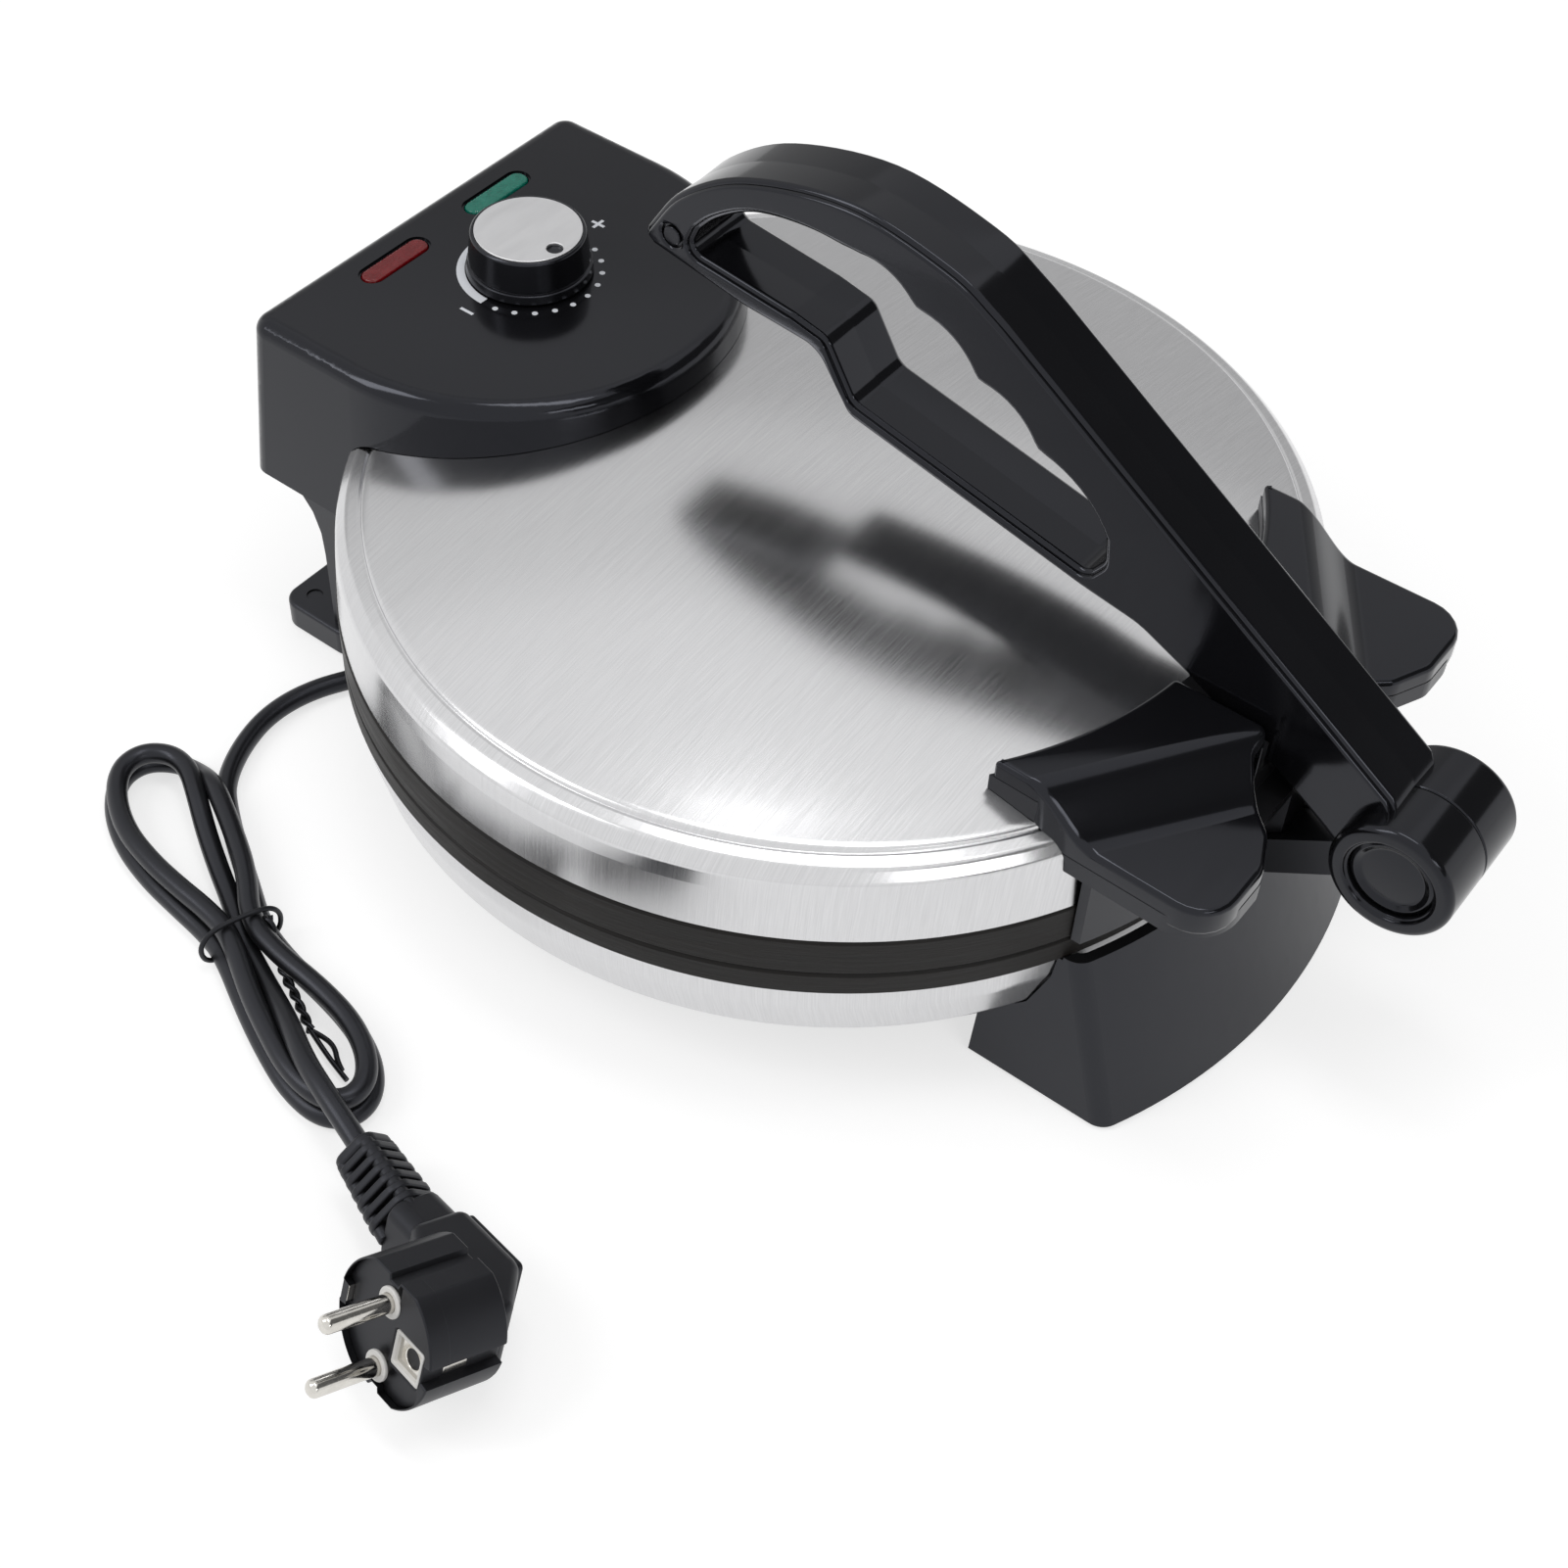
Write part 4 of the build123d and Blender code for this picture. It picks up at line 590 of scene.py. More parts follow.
sideways = Matrix(((0, 0, 1), (1, 0, 0), (0, 1, 0))).to_4x4()  # outlines in (y, z), thickness along x
upwards = Matrix.Identity(4)  # outlines in (x, y), thickness along z


def slab(name, outlines, low, high, edge, lie=upwards, inset=0.0, place=None):
    # flat moulding from its outer outline and its holes, with a rounded rim
    line = bpy.data.curves.new(name, "CURVE")
    line.dimensions = "2D"
    line.fill_mode = "BOTH"
    for outline in outlines:
        spline = line.splines.new("POLY")
        spline.points.add(len(outline) - 1)
        for (a, b), point in zip(outline, spline.points):
            point.co = (a * mm, b * mm, 0, 1)
        spline.use_cyclic_u = True
    line.extrude = ((high - low) / 2 - edge) * mm
    line.bevel_depth = edge * mm
    line.bevel_resolution = 3
    line.offset = -(edge + inset) * mm
    piece = meshOf(name, line)
    frameOf = Matrix.Translation((0, plateY * mm, 0)) if place is None else place
    piece.matrix_world = frameOf @ lie @ Matrix.Translation((0, 0, (low + high) / 2 * mm))
    bpy.ops.object.transform_apply(location=True, rotation=True, scale=True)
    return closeUp(piece)


def joined(name, pieces):
    pick(*pieces)
    bpy.ops.object.join()
    pieces[0].name = name
    return pieces[0]


def cutBy(piece, cutter):
    pick(piece)
    cut = piece.modifiers.new("cut", "BOOLEAN")
    cut.operation = "DIFFERENCE"
    cut.solver = "EXACT"
    cut.object = cutter
    bpy.ops.object.modifier_apply(modifier="cut")
    bpy.data.objects.remove(cutter)
    bpy.ops.object.shade_smooth_by_angle(angle=sharpAngle)
    return piece


def dress(piece, body, slot, finish, *nodes):
    # gives a finished piece its finish and its body, and hides the nodes that it stands for
    piece.data.materials.clear()
    piece.data.materials.append(finish)
    evenShading(piece)
    if nodes:
        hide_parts(*nodes)
    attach(piece, body)
    return piece


# lid shell: a shallow dome, a bead and a groove at its shoulder, and a smooth skirt

lidSettings = {
    "top": 108.3, "domeSpan": 1200.0, "wall": 1.0,
    "domeRings": (0, 10, 20, 30, 40, 50, 60, 70, 80, 90, 100, 108, 115, 121, 126.6),
    "shoulder": [(127.9, 94.75, 0), (128.7, 94.1, 0.5), (129.0, 93.3, 0.4), (130.0, 93.35, 0.4),
                 (133.2, 92.4, 3.5), (136.2, 89.2, 3.0), (136.7, 84.0, 8.0), (137.6, 69.7, 0)],
    "inside": [(136.6, 69.7, 0), (135.3, 88.2, 2), (131.8, 91.4, 2), (127.6, 92.6, 2)],
}


def makeLid():
    s = lidSettings
    dome = [(r, s["top"] - r * r / s["domeSpan"]) for r in s["domeRings"]]
    outside = dome + roundedRun([(*dome[-1], 0)] + s["shoulder"], closed=False)[1:]
    inner = [(r, z - s["wall"]) for r, z in reversed(dome)]
    inside = roundedRun(s["inside"] + [(*inner[0], 0)], closed=False)
    shell = turnedPiece("lidShell", outside + inside[:-1] + inner, roundSteps)
    dress(shell, "lid", "polished_steel", lidSteel, "lid_shell")


makeLid()
print("lid shell turned")

# rims of both plates and the base's steel bowl

ringSettings = {
    "lowerRim": [(127.3, 56.8, 0.2), (137.0, 56.8, 0.5), (138.0, 55.9, 0.5), (138.0, 49.3, 0.5),
                 (137.5, 48.8, 0.2), (123.0, 48.8, 0.3), (123.0, 50.3, 0.2), (127.3, 50.3, 0.2)],
    "upperRim": [(127.3, 57.1, 0.2), (127.3, 63.6, 0.2), (123.0, 63.6, 0.2), (123.0, 69.5, 0.2),
                 (137.3, 69.5, 0.4), (138.0, 68.7, 0.5), (138.0, 57.6, 0.4), (137.5, 57.1, 0.2)],
    "baseBowl": [(136.8, 48.8, 0), (136.5, 41.0, 12), (133.6, 28.6, 5), (131.0, 26.0, 2),
                 (118.0, 26.0, 0), (118.0, 27.0, 0), (130.6, 27.0, 1), (132.6, 29.1, 4),
                 (135.5, 41.0, 12), (135.8, 48.8, 0)],
}


def makeRings():
    for name, body, slot, finish, node in (
            ("lowerRim", "base", "black_rim", rimResin, "lower_rim"),
            ("upperRim", "lid", "black_rim", rimResin, "upper_rim"),
            ("baseBowl", "base", "polished_steel", bowlSteel, "base_bowl")):
        ring = turnedPiece(name, roundedRun(ringSettings[name], steps=4), roundSteps)
        dress(ring, body, slot, finish, node)


makeRings()
print("rims and bowl turned")

# lever: two moulded cheeks on a body with a seam down its middle

leverSettings = {
    "top": [(-57.5, 161.4), (-46.4, 176.4), (-26.0, 189.4), (5.0, 196.5), (34.8, 191.9), (50.2, 184.7),
            (65.9, 174.7), (81.5, 164.4)],
    "below": [(176.0, 102.1, 0), (181.0, 92.0, 0), (168.5, 76.4, 3), (148.9, 89.9, 20), (115.4, 108.0, 30),
              (101.4, 114.5, 20), (84.0, 117.3, 20), (9.6, 133.3, 7), (-1.6, 149.0, 8), (-24.7, 150.9, 20),
              (-55.0, 156.4, 3), (-57.9, 158.9, 1.5)],
    "holeTop": [(-40.4, 167.4), (-34.8, 173.3), (-25.6, 179.4), (-16.0, 182.4), (-4.8, 183.7), (4.0, 183.4)],
    "holeBelow": [(87.9, 136.4, 1), (88.8, 128.8, 4), (84.4, 122.4, 4.5), (11.2, 138.4, 5),
                  (1.6, 153.9, 6), (-10.0, 156.4, 10), (-43.4, 160.3, 4.0)],
    "cusps": [(7.0, 183.0), (26.8, 175.5), (46.3, 163.6), (65.3, 152.0), (87.9, 136.4)],
    "scallop": 3.3, "cuspRise": 0.45, "scallopSteps": 10,
    "half": 12.0, "edge": 1.3,
    "cheek": 1.2, "cheekRoot": 1.2, "cheekInset": 1.3, "cheekEdge": 1.0,
    "seam": (0.22, 0.3), "seamNear": 0.02,  # half width, depth, and reach of its own points
    "boss": (-48.5, 162.6), "bossHole": 2.0, "bossPin": 2.75,
    "bossRoot": 1.0, "bossDrop": 0.1, "bossEdge": 0.4,
}


def leverOutlines():
    s = leverSettings
    outer = smoothRun(s["top"], 7) + roundedRun(s["below"], closed=False)
    waves = []
    for (y0, z0), (y1, z1) in zip(s["cusps"], s["cusps"][1:]):
        run = hypot(y1 - y0, z1 - z0)
        for k in range(s["scallopSteps"]):
            t = k / s["scallopSteps"]
            rise = s["scallop"] * (1 - (2 * t - 1) ** 2) if t else s["cuspRise"]
            waves.append((y0 + (y1 - y0) * t - (z1 - z0) / run * rise,
                          z0 + (z1 - z0) * t + (y1 - y0) / run * rise))
    hole = waves + roundedRun(s["holeBelow"] + [(*s["holeTop"][0], 0)], closed=False)[:-1]
    hole += smoothRun(s["holeTop"], 5)
    return outer, hole


def makeLever():
    s = leverSettings
    outer, hole = leverOutlines()
    half = s["half"]
    core = half - s["cheek"]
    seamWide, seamDeep = s["seam"]
    body = slab("leverBody", [outer, hole], -core, core, s["edge"], sideways)
    bpy.ops.object.mode_set(mode="EDIT")
    bpy.ops.mesh.select_all(action="SELECT")
    bpy.ops.mesh.bisect(plane_co=(0, 0, 0), plane_no=(1, 0, 0))
    bpy.ops.mesh.bevel(offset=seamWide * mm, segments=2)
    bpy.ops.object.mode_set(mode="OBJECT")
    for vertex in body.data.vertices:
        vertex.select = abs(vertex.co.x) < s["seamNear"] * mm
    for edge in body.data.edges:
        edge.select = all(body.data.vertices[i].select for i in edge.vertices)
    bpy.ops.object.mode_set(mode="EDIT")
    bpy.ops.mesh.select_mode(type="VERT")
    bpy.ops.transform.shrink_fatten(value=-seamDeep * mm)
    bpy.ops.object.mode_set(mode="OBJECT")
    bpy.ops.object.shade_smooth_by_angle(angle=sharpAngle)
    pieces = [body]
    bossHole = circleRun(*s["boss"], s["bossHole"], 32)
    bossPin = circleRun(*s["boss"], s["bossPin"], 32)
    for side in (-1, 1):
        low, high = sorted((side * (core - s["cheekRoot"]), side * half))
        pieces.append(slab("leverCheek", [outer, hole, bossHole], low, high, s["cheekEdge"], sideways,
                           s["cheekInset"]))
        low, high = sorted((side * (core - s["bossRoot"]), side * (half - s["bossDrop"])))
        pieces.append(slab("leverBoss", [bossPin], low, high, s["bossEdge"], sideways))
    dress(joined("leverBody", pieces), "lever", "lever_black", plastics["leverBlack"],
          "lever_right_shell", "lever_left_shell", "lever_plug")


# the lever's round hub, open below for the hinge bracket and the lid's arm, and its two caps

hubSettings = {
    "place": (0, 183.5, 83.0),
    "ring": [(3.55, 0.1, 0), (16.6, 0.1, 0.3), (17.0, 0.5, 0.3), (17.0, 18.5, 3.2), (12.6, 18.5, 0.8),
             (12.2, 17.6, 0.3), (11.6, 17.4, 0.3), (11.6, 14.0, 0), (3.55, 14.0, 0)],
    "cap": [(0, 14.1, 0), (11.5, 14.1, 0), (11.5, 16.1, 0.5), (10.2, 16.6, 0.5), (8.6, 15.5, 1.5),
            (0, 16.3, 0)],
    "slot": (190, 341.5, 10.3),  # from and to this angle, half width
    "slotReach": 30, "slotEdge": 0.02, "slotSteps": 12,
}


def makeHub():
    s = hubSettings
    hubs = []
    start, end, half = s["slot"]
    x, y, z = s["place"]
    place = at(x, y, z)
    arc = [radians(a) for a in evenly(start, end, s["slotSteps"])]
    wedge = [(y, z)] + [(y + s["slotReach"] * cos(a), z + s["slotReach"] * sin(a)) for a in arc]
    for side in (-1, 1):
        ring = roundedRun([(r, side * away, soft) for r, away, soft in s["ring"]], steps=5)
        hub = turnedPiece("leverHub", ring, 96, place, across=True)
        cutter = slab("hubSlot", [wedge], -half, half, s["slotEdge"], sideways)
        hubs.append(cutBy(hub, cutter))
        disc = roundedRun([(r, side * away, soft) for r, away, soft in s["cap"]], steps=5)
        cap = turnedPiece("hubCap", disc, 96, place, across=True)
        node = "hub_cap_right" if side > 0 else "hub_cap_left"
        dress(cap, "lever", "hub_black", plastics["hubBlack"], node)
    dress(joined("leverHub", hubs), "lever", "hub_black", plastics["hubBlack"])


makeLever()
makeHub()
print("lever and hub modelled")

# rear bracket: two wings over the lid's edge, one each side of the lever

wingSettings = {
    "frontRadius": 115.8, "frontHalf": 66.0, "slotHalf": 13.4,
    "slotCorner": 2.8, "frontCorner": 4.0, "cornerRoom": 3, "frontSteps": 20,
    "behind": [(67.4, 161.0, 16.0), (44.0, 161.0, 8.0), (33.0, 156.0, 8.0), (24.0, 146.0, 3.5),
               (20.4, 142.8, 3.0), (13.4, 142.8, 2.8)],
    "low": 86.0, "high": 107.4, "edge": 1.7, "inset": 0.12,
    "stepSide": 111.2, "stepSlope": 0.663,  # where the step meets the outer side, and its slant
    "stepRun": (-6.0, 12.0), "stepFall": 12.2, "stepCuts": 24,
    "straightFoot": 4,  # this much at the bottom stays level
    "lid": [(0, 108.4), (60, 105.4), (90, 101.65), (115, 97.4), (127.5, 95.0), (136.9, 89.0),
            (137.8, 70.0), (0, 70.0)],  # the lid with its clearance
}


def makeWing(side):
    # one wing: a plate over the lid that falls in a smooth step to a rounded lobe
    s = wingSettings
    radius = s["frontRadius"]
    start = asin((s["slotHalf"] + s["cornerRoom"]) / radius)
    end = asin((s["frontHalf"] - s["cornerRoom"]) / radius)
    arc = [(radius * sin(turn), radius * cos(turn), 0) for turn in evenly(start, end, s["frontSteps"])]
    corner = (s["frontHalf"], sqrt(radius ** 2 - s["frontHalf"] ** 2), s["frontCorner"])
    first = (s["slotHalf"], sqrt(radius ** 2 - s["slotHalf"] ** 2), s["slotCorner"])
    outline = [(side * x, y) for x, y in roundedRun([first] + arc + [corner] + s["behind"])]
    wing = slab("wingCover", [outline], s["low"], s["high"], s["edge"], upwards, s["inset"])
    length = hypot(1, s["stepSlope"])
    across = Vector((side * s["stepSlope"], 1, 0)) / length
    edge = at(side * s["behind"][0][0], s["stepSide"], 0)
    near, far = s["stepRun"]
    bpy.ops.object.mode_set(mode="EDIT")
    for away in evenly(near, far, s["stepCuts"]):
        bpy.ops.mesh.select_all(action="SELECT")
        bpy.ops.mesh.bisect(plane_co=edge + across * away * mm, plane_no=across)
    bpy.ops.object.mode_set(mode="OBJECT")
    fall = wing.vertex_groups.new(name="step")
    for vertex in wing.data.vertices:
        away = (vertex.co - edge).dot(across) / mm
        t = min(1, max(0, (away - near) / (far - near)))
        if vertex.co.z > (s["low"] + s["straightFoot"]) * mm:
            fall.add([vertex.index], t * t * (3 - 2 * t), "REPLACE")
    lower = wing.modifiers.new("step", "DISPLACE")
    lower.direction = "Z"
    lower.mid_level = 0
    lower.strength = -s["stepFall"] * mm
    lower.vertex_group = "step"
    bpy.ops.object.modifier_apply(modifier="step")
    wing.vertex_groups.clear()
    cutter = turnedPiece("lidClearance", s["lid"], roundSteps)
    return cutBy(wing, cutter)


wings = joined("wingCover", [makeWing(side) for side in (-1, 1)])
dress(wings, "lid", "satin_black", plastics["wingBlack"], "wing_cover")
print("rear bracket's wings modelled")

# dial: the knob and its cap

dialSettings = {
    "place": (0, -109.7, 0),
    "knob": [(0, 118.0, 0), (13.8, 118.0, 0.5), (14.2, 117.1, 0), (17.9, 117.1, 0.3), (18.2, 117.5, 0.3),
             (17.9, 119.9, 0.3), (17.1, 120.2, 0.1), (17.1, 120.7, 0.1), (17.5, 120.9, 0.3),
             (16.5, 129.6, 0.8), (15.9, 130.1, 0.3), (15.5, 129.9, 0), (15.5, 129.3, 0), (0, 129.3, 0)],
    "cap": 15.35, "capSpan": (129.2, 130.25, 0.25),  # low, high, edge
    "dimple": (11.8, 80, 2.4),  # distance from the middle, angle, radius
}


def makeDial():
    s = dialSettings
    x, y, z = s["place"]
    body = turnedPiece("dialKnob", roundedRun(s["knob"], steps=4), 120, at(x, y, z))
    dress(body, "dial", "knob_black", plastics["knobBlack"], "knob")
    reach, angle, radius = s["dimple"]
    hole = circleRun(x + reach * cos(radians(angle)), y + reach * sin(radians(angle)), radius, 40)
    cap = slab("dialCap", [circleRun(x, y, s["cap"], 120), hole], *s["capSpan"])
    dress(cap, "dial", "knob_silver", metals["dialSilver"], "knob_cap")


# lamp windows in the control box, with round ends

lensSettings = {
    "place": (21.6, -141.8), "size": (25.0, 6.8),
    "span": (111.5, 116.7, 1.1),  # low, high, edge
    "gap": 0.15,
}


def makeLenses():
    s = lensSettings
    x, y = s["place"]
    length, width = s["size"]
    a = (length - width) / 2
    r = width / 2 - s["gap"]
    for side, name, node, finish, slot in (
            (1, "redLens", "red_lens", clears["redClear"], "red_clear"),
            (-1, "greenLens", "green_lens", clears["greenClear"], "green_clear")):
        middle = side * x
        outline = roundedRun([(middle - a - r, y - r, r), (middle + a + r, y - r, r),
                              (middle + a + r, y + r, r), (middle - a - r, y + r, r)], steps=12)
        window = slab(name, [outline], *s["span"])
        dress(window, "lid", slot, finish, node)


makeDial()
makeLenses()
print("dial and lamp windows modelled")

# angled mains plug, in a frame with its face at zero, its pins along z and its lead along -y

plugSettings = {
    "face": (241.5, 52.4, 28.0),
    "pinWay": (0.8903, -0.2428, 0.3852),
    "rowWay": (0.4092, 0.0557, -0.9107),
    "radius": 18.4, "flat": 16.6, "steps": 240,
    "groove": (1.5, 1.5), "clipSeat": (2.6, 2.6),  # half width and depth
    "axis": -28.8,
    "faceSpan": (-6.0, 0, 0.5), "bodySpan": (-22.5, -2.0, 0.7), "bodyInset": 0.03,  # low, high, edge
    "back": [(-20.5, -20.0, 3.0), (-20.5, -35.6, 3.0), (3.0, -35.6, 6.0), (15.2, -24.5, 4.0),
             (15.2, -16.0, 3.0), (-14.0, -16.0, 3.0)],
    "backSpan": (-11.4, 11.4, 2.4),
    "panel": (-9.2, 9.2, -19.5, 2.5, 1.5), "panelSpan": (-37.6, -34.0, 0.6),
    "neck": (8.8, 7.8, 12.0, 31.5), "neckCorner": 4.5, "neckEdge": 1.0,
    "turn": (-0.476, 0.0, 0.878),
    "tip": (-6.0, -55.7, -29.5),
    "ribs": 6, "ribWide": (8.2, 6.5), "ribThick": 2.3, "ribEdge": 0.6, "ribCorner": 0.55,
    "ribsFrom": 2.0, "ribsShort": 5.0,
    "tipThick": 3.6, "tipEdge": 1.2, "tipCorner": 0.6,
    "core": 4.4, "coreSpan": (-2.0, 1.0, 0.5),  # from here, this short of the tip, edge
    "bar": 2.1, "barSpan": (-1.0, 2.0, 0.5), "barOut": 0.62,
    "notch": (-5.2, 5.2, 4.0, 15.2, 0.8),
}


def plugFrame():
    s = plugSettings
    out = Vector(s["pinWay"]).normalized()
    row = Vector(s["rowWay"])
    row = (row - out * row.dot(out)).normalized()
    side = out.cross(row)
    turn = Matrix((row, side, out)).transposed().to_4x4()
    return Matrix.Translation(at(*s["face"])) @ turn


def plugSlab(name, outlines, low, high, edge, lie=upwards, inset=0.0, place=None):
    return slab(name, outlines, low, high, edge, lie, inset, plugFrame() @ (place or Matrix.Identity(4)))


def boxRun(aLow, aHigh, bLow, bHigh, radius):
    corners = ((aLow, bLow), (aHigh, bLow), (aHigh, bHigh), (aLow, bHigh))
    return roundedRun([(a, b, radius) for a, b in corners])


alongLead = Matrix(((1, 0, 0), (0, 0, -1), (0, 1, 0))).to_4x4()  # outlines in (x, z), thickness along -y


def plugOutline():
    # round face with two flats, a guide groove in each flat and a seat for each earth clip
    s = plugSettings
    half, deep = s["groove"]
    seatHalf, seatDeep = s["clipSeat"]
    run = []
    for x, y in circleRun(0, 0, s["radius"], s["steps"]):
        x = max(-s["flat"], min(s["flat"], x))
        if abs(y) < half:
            x = (s["flat"] - deep) * (1 if x > 0 else -1)
        if abs(x) < seatHalf:
            y = (s["radius"] - seatDeep) * (1 if y > 0 else -1)
        run.append((x, y))
    return run


def leadFrame():
    # place on the lead's own line, from the neck to the tip of the strain relief
    s = plugSettings
    root = Vector((0, -s["neck"][3] + 1, s["axis"]))
    way = Vector(s["tip"]) - root
    ahead = way.normalized()
    front = Vector(s["turn"])
    front = (front - ahead * front.dot(ahead)).normalized()
    turn = Matrix((front, ahead.cross(front), ahead)).transposed().to_4x4()
    return Matrix.Translation(root * mm) @ turn, way.length


def makePlug():
    s = plugSettings
    notch = boxRun(*s["notch"])
    halfRow, halfDeep, near, far = s["neck"]
    neck = boxRun(-halfRow, halfRow, s["axis"] - halfDeep, s["axis"] + halfDeep, s["neckCorner"])
    pieces = [
        plugSlab("plugFace", [plugOutline(), notch], *s["faceSpan"]),
        plugSlab("plugBody", [plugOutline()], *s["bodySpan"], inset=s["bodyInset"]),
        plugSlab("plugBack", [roundedRun(s["back"])], *s["backSpan"], sideways),
        plugSlab("plugPanel", [boxRun(*s["panel"])], *s["panelSpan"]),
        plugSlab("plugNeck", [neck], near, far, s["neckEdge"], alongLead),
    ]
    place, length = leadFrame()
    wide, narrow = s["ribWide"]
    thick = s["ribThick"] / 2
    step = (length - s["ribsShort"]) / s["ribs"]
    for k in range(s["ribs"]):
        along = s["ribsFrom"] + step * (k + 0.5)
        half = wide + (narrow - wide) * along / length
        rib = boxRun(-half, half, -half, half, half * s["ribCorner"])
        pieces.append(plugSlab("plugRib", [rib], along - thick, along + thick, s["ribEdge"], place=place))
    end = boxRun(-narrow, narrow, -narrow, narrow, narrow * s["tipCorner"])
    pieces.append(plugSlab("plugTip", [end], length - s["tipThick"], length, s["tipEdge"], place=place))
    start, short, edge = s["coreSpan"]
    core = circleRun(0, 0, s["core"], 32)
    pieces.append(plugSlab("plugCore", [core], start, length - short, edge, place=place))
    start, short, edge = s["barSpan"]
    bar = circleRun(0, 0, s["bar"], 16)
    out = s["barOut"]
    for a in (-1, 1):
        for b in (-1, 1):
            lean = Matrix.Translation((a * wide * out * mm, b * wide * out * mm, 0))
            way = Vector((a * (narrow - wide) * out, b * (narrow - wide) * out, length))
            along = place @ lean @ way.to_track_quat("Z", "X").to_matrix().to_4x4()
            pieces.append(plugSlab("plugBar", [bar], start, length - short, edge, place=along))
    return dress(joined("plugBody", pieces), "base", "plug_pvc", plastics["plugBlack"], "plug_body")


# the plug's pins with their white collars, and its earth contact and clips

plugMetalSettings = {
    "pinSpan": 19.0, "pinRadius": 2.4, "pinLength": 19.0, "pinRoot": -6.0, "pinEdge": 1.7,
    "collar": 4.0, "collarSpan": (-0.6, 0.5, 0.35),  # low, high, edge
    "earthRim": ((-5.1, 5.1, 4.1, 15.1, 0.8), (-4.1, 4.1, 5.1, 14.1, 0.6)), "rimSpan": (-2.0, -0.1, 0.3),
    "earthPlate": (-4.3, 4.3, 4.9, 14.3, 0.4), "earthHole": (0, 10.3, 2.6), "plateSpan": (-2.6, -1.3, 0.3),
    "nearStrip": ((-2.3, 2.3, -9.0, -0.2, 0.4), (15.5, 17.2)),  # outline, and its reach from the middle
    "farStrip": ((-1.9, 1.9, -13.0, -6.0, 0.4), (-15.9, -15.2)), "stripEdge": 0.3,
}


def makePlugMetal():
    s = plugMetalSettings
    pins, collars = [], []
    for side in (-1, 1):
        x = side * s["pinSpan"] / 2
        pinRound = circleRun(x, 0, s["pinRadius"], 40)
        pins.append(plugSlab("plugPin", [pinRound], s["pinRoot"], s["pinLength"], s["pinEdge"]))
        collars.append(plugSlab("pinCollar", [circleRun(x, 0, s["collar"], 48), pinRound], *s["collarSpan"]))
    collars.append(plugSlab("earthRim", [boxRun(*sides) for sides in s["earthRim"]], *s["rimSpan"]))
    hole = circleRun(*s["earthHole"], 40)
    earth = [plugSlab("earthPlate", [boxRun(*s["earthPlate"]), hole], *s["plateSpan"])]
    for outline, (low, high) in (s["nearStrip"], s["farStrip"]):
        earth.append(plugSlab("earthStrip", [boxRun(*outline)], low, high, s["stripEdge"], alongLead))
    return [
        dress(joined("plugPins", pins), "base", "pin_nickel", metals["pinNickel"], "plug_pins"),
        dress(joined("pinCollars", collars), "base", "collar_white", plastics["collarWhite"], "pin_collars"),
        dress(joined("earthClips", earth), "base", "pin_nickel", metals["pinNickel"], "earth_clips"),
    ]


plug = makePlug()
plugMetal = makePlugMetal()
print("plug modelled")

# wire tie: a loop round the bundle and a twisted tail

tieSettings = {
    "wire": 0.75,
    "loop": [(158.0, -68.6, 3.0), (157.4, -68.4, 9.0), (160.5, -69.5, 13.2), (168.5, -72.6, 13.6),
             (176.5, -75.2, 13.2), (180.4, -76.2, 9.0), (179.8, -76.0, 3.0), (176.0, -74.8, 0.85),
             (168.5, -72.2, 0.8), (161.0, -69.4, 0.85)],
    "tail": [(161.5, -69.0, 10.5), (166.0, -61.5, 8.0), (170.5, -54.5, 6.0), (173.0, -48.5, 4.5),
             (176.6, -41.0, 3.6), (178.4, -37.0, 3.0)],
    "ends": [[(178.4, -37.0, 3.0), (180.3, -31.0, 2.4), (182.0, -25.0, 1.9), (183.4, -19.0, 1.6)],
             [(178.4, -37.0, 3.0), (177.4, -32.5, 2.4), (178.0, -28.5, 1.9), (180.6, -25.2, 1.6),
              (181.9, -22.2, 1.6)]],
    "twist": 4.2, "offset": 0.75,  # half a turn's length, and each wire's distance from the middle
    "across": (0.87, -0.49, 0),
}


def wireLine(name, runs, radius, smooth, sides, closed=False):
    # round wire that follows its points
    line = bpy.data.curves.new(name, "CURVE")
    line.dimensions = "3D"
    for run in runs:
        spline = line.splines.new("NURBS")
        spline.points.add(len(run) - 1)
        for place, point in zip(run, spline.points):
            point.co = (*at(*place), 1)
        spline.order_u = 3
        spline.use_endpoint_u = not closed
        spline.use_cyclic_u = closed
        spline.resolution_u = smooth
    line.bevel_depth = radius * mm
    line.bevel_resolution = sides
    line.use_fill_caps = True
    return line


def makeTie():
    s = tieSettings
    loop = closeUp(meshOf("tieLoop", wireLine("tieLoop", [s["loop"]], s["wire"], 6, 3, closed=True)))
    middle = smoothRun(s["tail"], 10)
    strands = []
    for phase in (0, pi):
        strand = []
        gone = 0.0
        for k, place in enumerate(middle):
            here = Vector(place)
            if k:
                gone += (here - Vector(middle[k - 1])).length
            angle = phase + gone * pi / s["twist"]
            side = Vector(s["across"]) * cos(angle) + Vector((0, 0, 1)) * sin(angle)
            strand.append(tuple(here + side * s["offset"]))
        strands.append(strand)
    strands += s["ends"]
    tail = closeUp(meshOf("tieTail", wireLine("tieTail", strands, s["wire"], 6, 3)))
    return dress(joined("cordTie", [loop, tail]), "base", "tie_plastic", plastics["tieBlack"], "cord_tie")


tie = makeTie()
print("tie modelled")

# mains lead

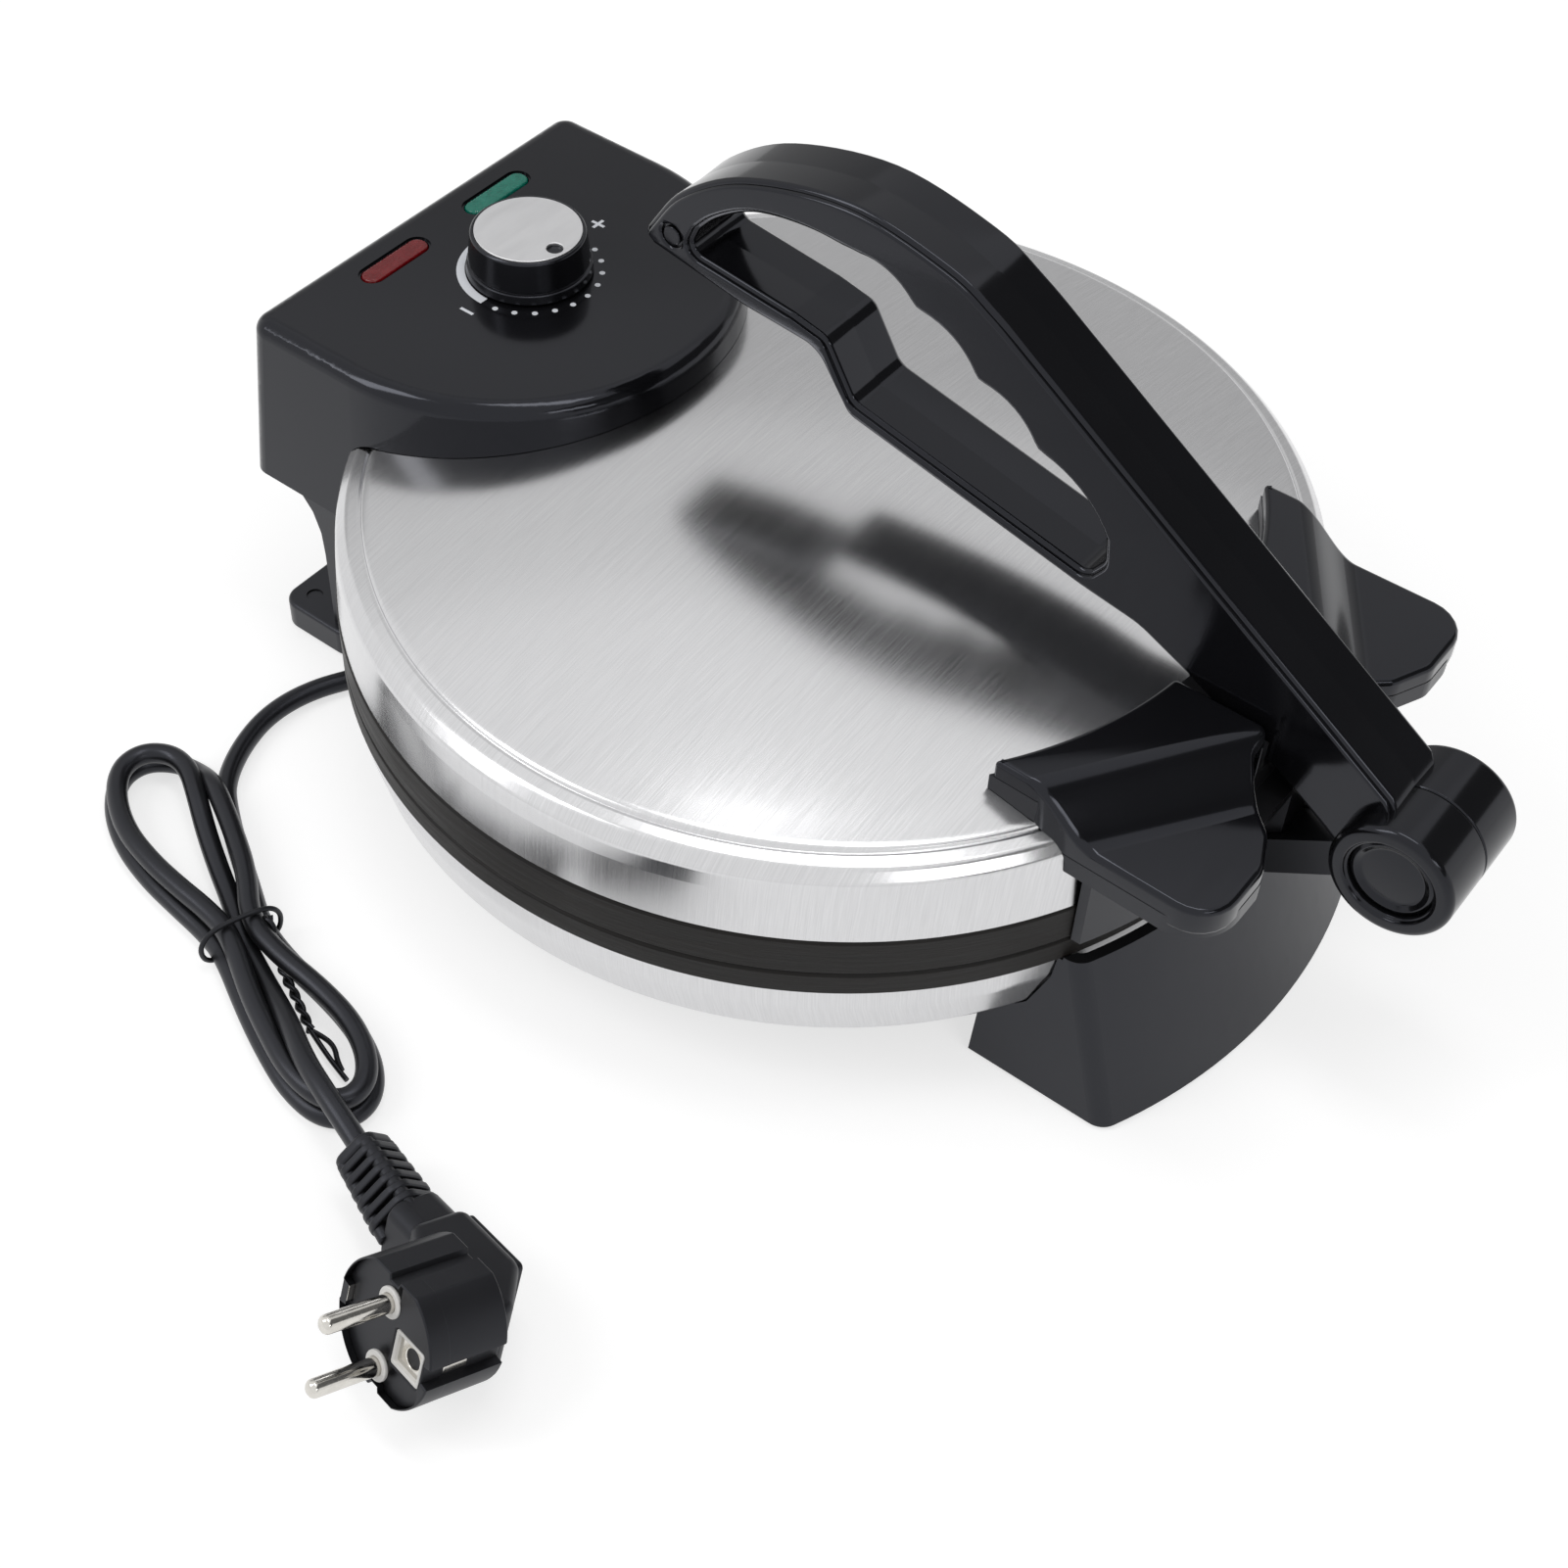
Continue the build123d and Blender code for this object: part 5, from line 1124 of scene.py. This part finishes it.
cordSettings = {
    "radius": 3.0,
    "underBody": [(20.1, -88.3, 15.0), (32.3, -95.2, 13.6), (46.2, -103.0, 7.6), (60.1, -110.8, 4.0),
                  (74.1, -118.7, 3.1), (88.0, -126.5, 3.1), (103.0, -129.0, 3.1), (118.0, -125.5, 3.1),
                  (131.0, -118.5, 3.1)],
    "bundle": [
        (138.5, -109, 3.1), (145.5, -98.5, 3.1), (153, -86, 3.1), (162.2, -71.5, 4.0), (165.8, -57, 3.1),
        (167.6, -42, 3.1), (170.6, -28, 3.1), (175.8, -16.5, 3.1), (183.5, -9, 3.1), (192, -8.6, 3.1),
        (196.8, -15.5, 3.1), (195.6, -28, 3.1), (190.8, -41, 3.1), (184.5, -55, 3.1), (175.2, -73, 4.0),
        (172.5, -84, 3.1), (171.2, -95, 3.1), (169.3, -109, 3.1), (165.3, -123.5, 3.1), (158, -136, 3.1),
        (149.5, -143.3, 3.1), (140, -143.3, 3.1), (133.8, -136, 3.1), (133.2, -126.5, 4.5),
        (136, -117, 9.3), (140.5, -108, 9.4), (146, -98, 9.3), (153.5, -85.5, 9.3), (165.5, -72, 9.4),
        (168.5, -57, 9.3), (169.5, -42, 9.3), (172, -28, 9.3), (177, -17, 9.3), (184, -10.2, 9.3),
        (191.5, -10, 9.3), (195.3, -16.5, 9.3), (194, -28.5, 9.3), (189, -41, 9.3), (182.5, -55, 9.3),
        (171.9, -73, 9.4), (169.8, -84, 9.3), (169, -96, 9.3), (167.5, -109, 9.3), (164, -123, 9.3),
        (157, -134.8, 9.3), (149, -141.6, 9.3), (140.8, -141.4, 9.3), (135.8, -135, 9.3),
        (136.2, -127, 9.3), (142, -117.5, 9.0), (148.5, -107.5, 6.5), (155, -96, 4.5), (161, -84.5, 3.5),
        (168.7, -72.3, 4.0), (174, -60, 4.5), (179, -49, 7.5), (184.5, -37.5, 11.5)],
    "toPlug": [(191.6, -24.5, 14.6), (195.6, -13.5, 15.2), (199.4, -1.3, 14.1), (202.6, 8.3, 13.6)],
}


def makeCord():
    s = cordSettings
    line = wireLine("mainsLead", [s["underBody"] + s["bundle"] + s["toPlug"]], s["radius"], 8, 6)
    cord = bpy.data.objects.new("mainsLead", line)
    bpy.context.scene.collection.objects.link(cord)
    line.materials.append(plastics["cordBlack"])
    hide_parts("power_cord", "cord_hank", "cord_end")
    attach(cord, "base")
    return cord


mainsLead = makeCord()
print("mains lead laid")
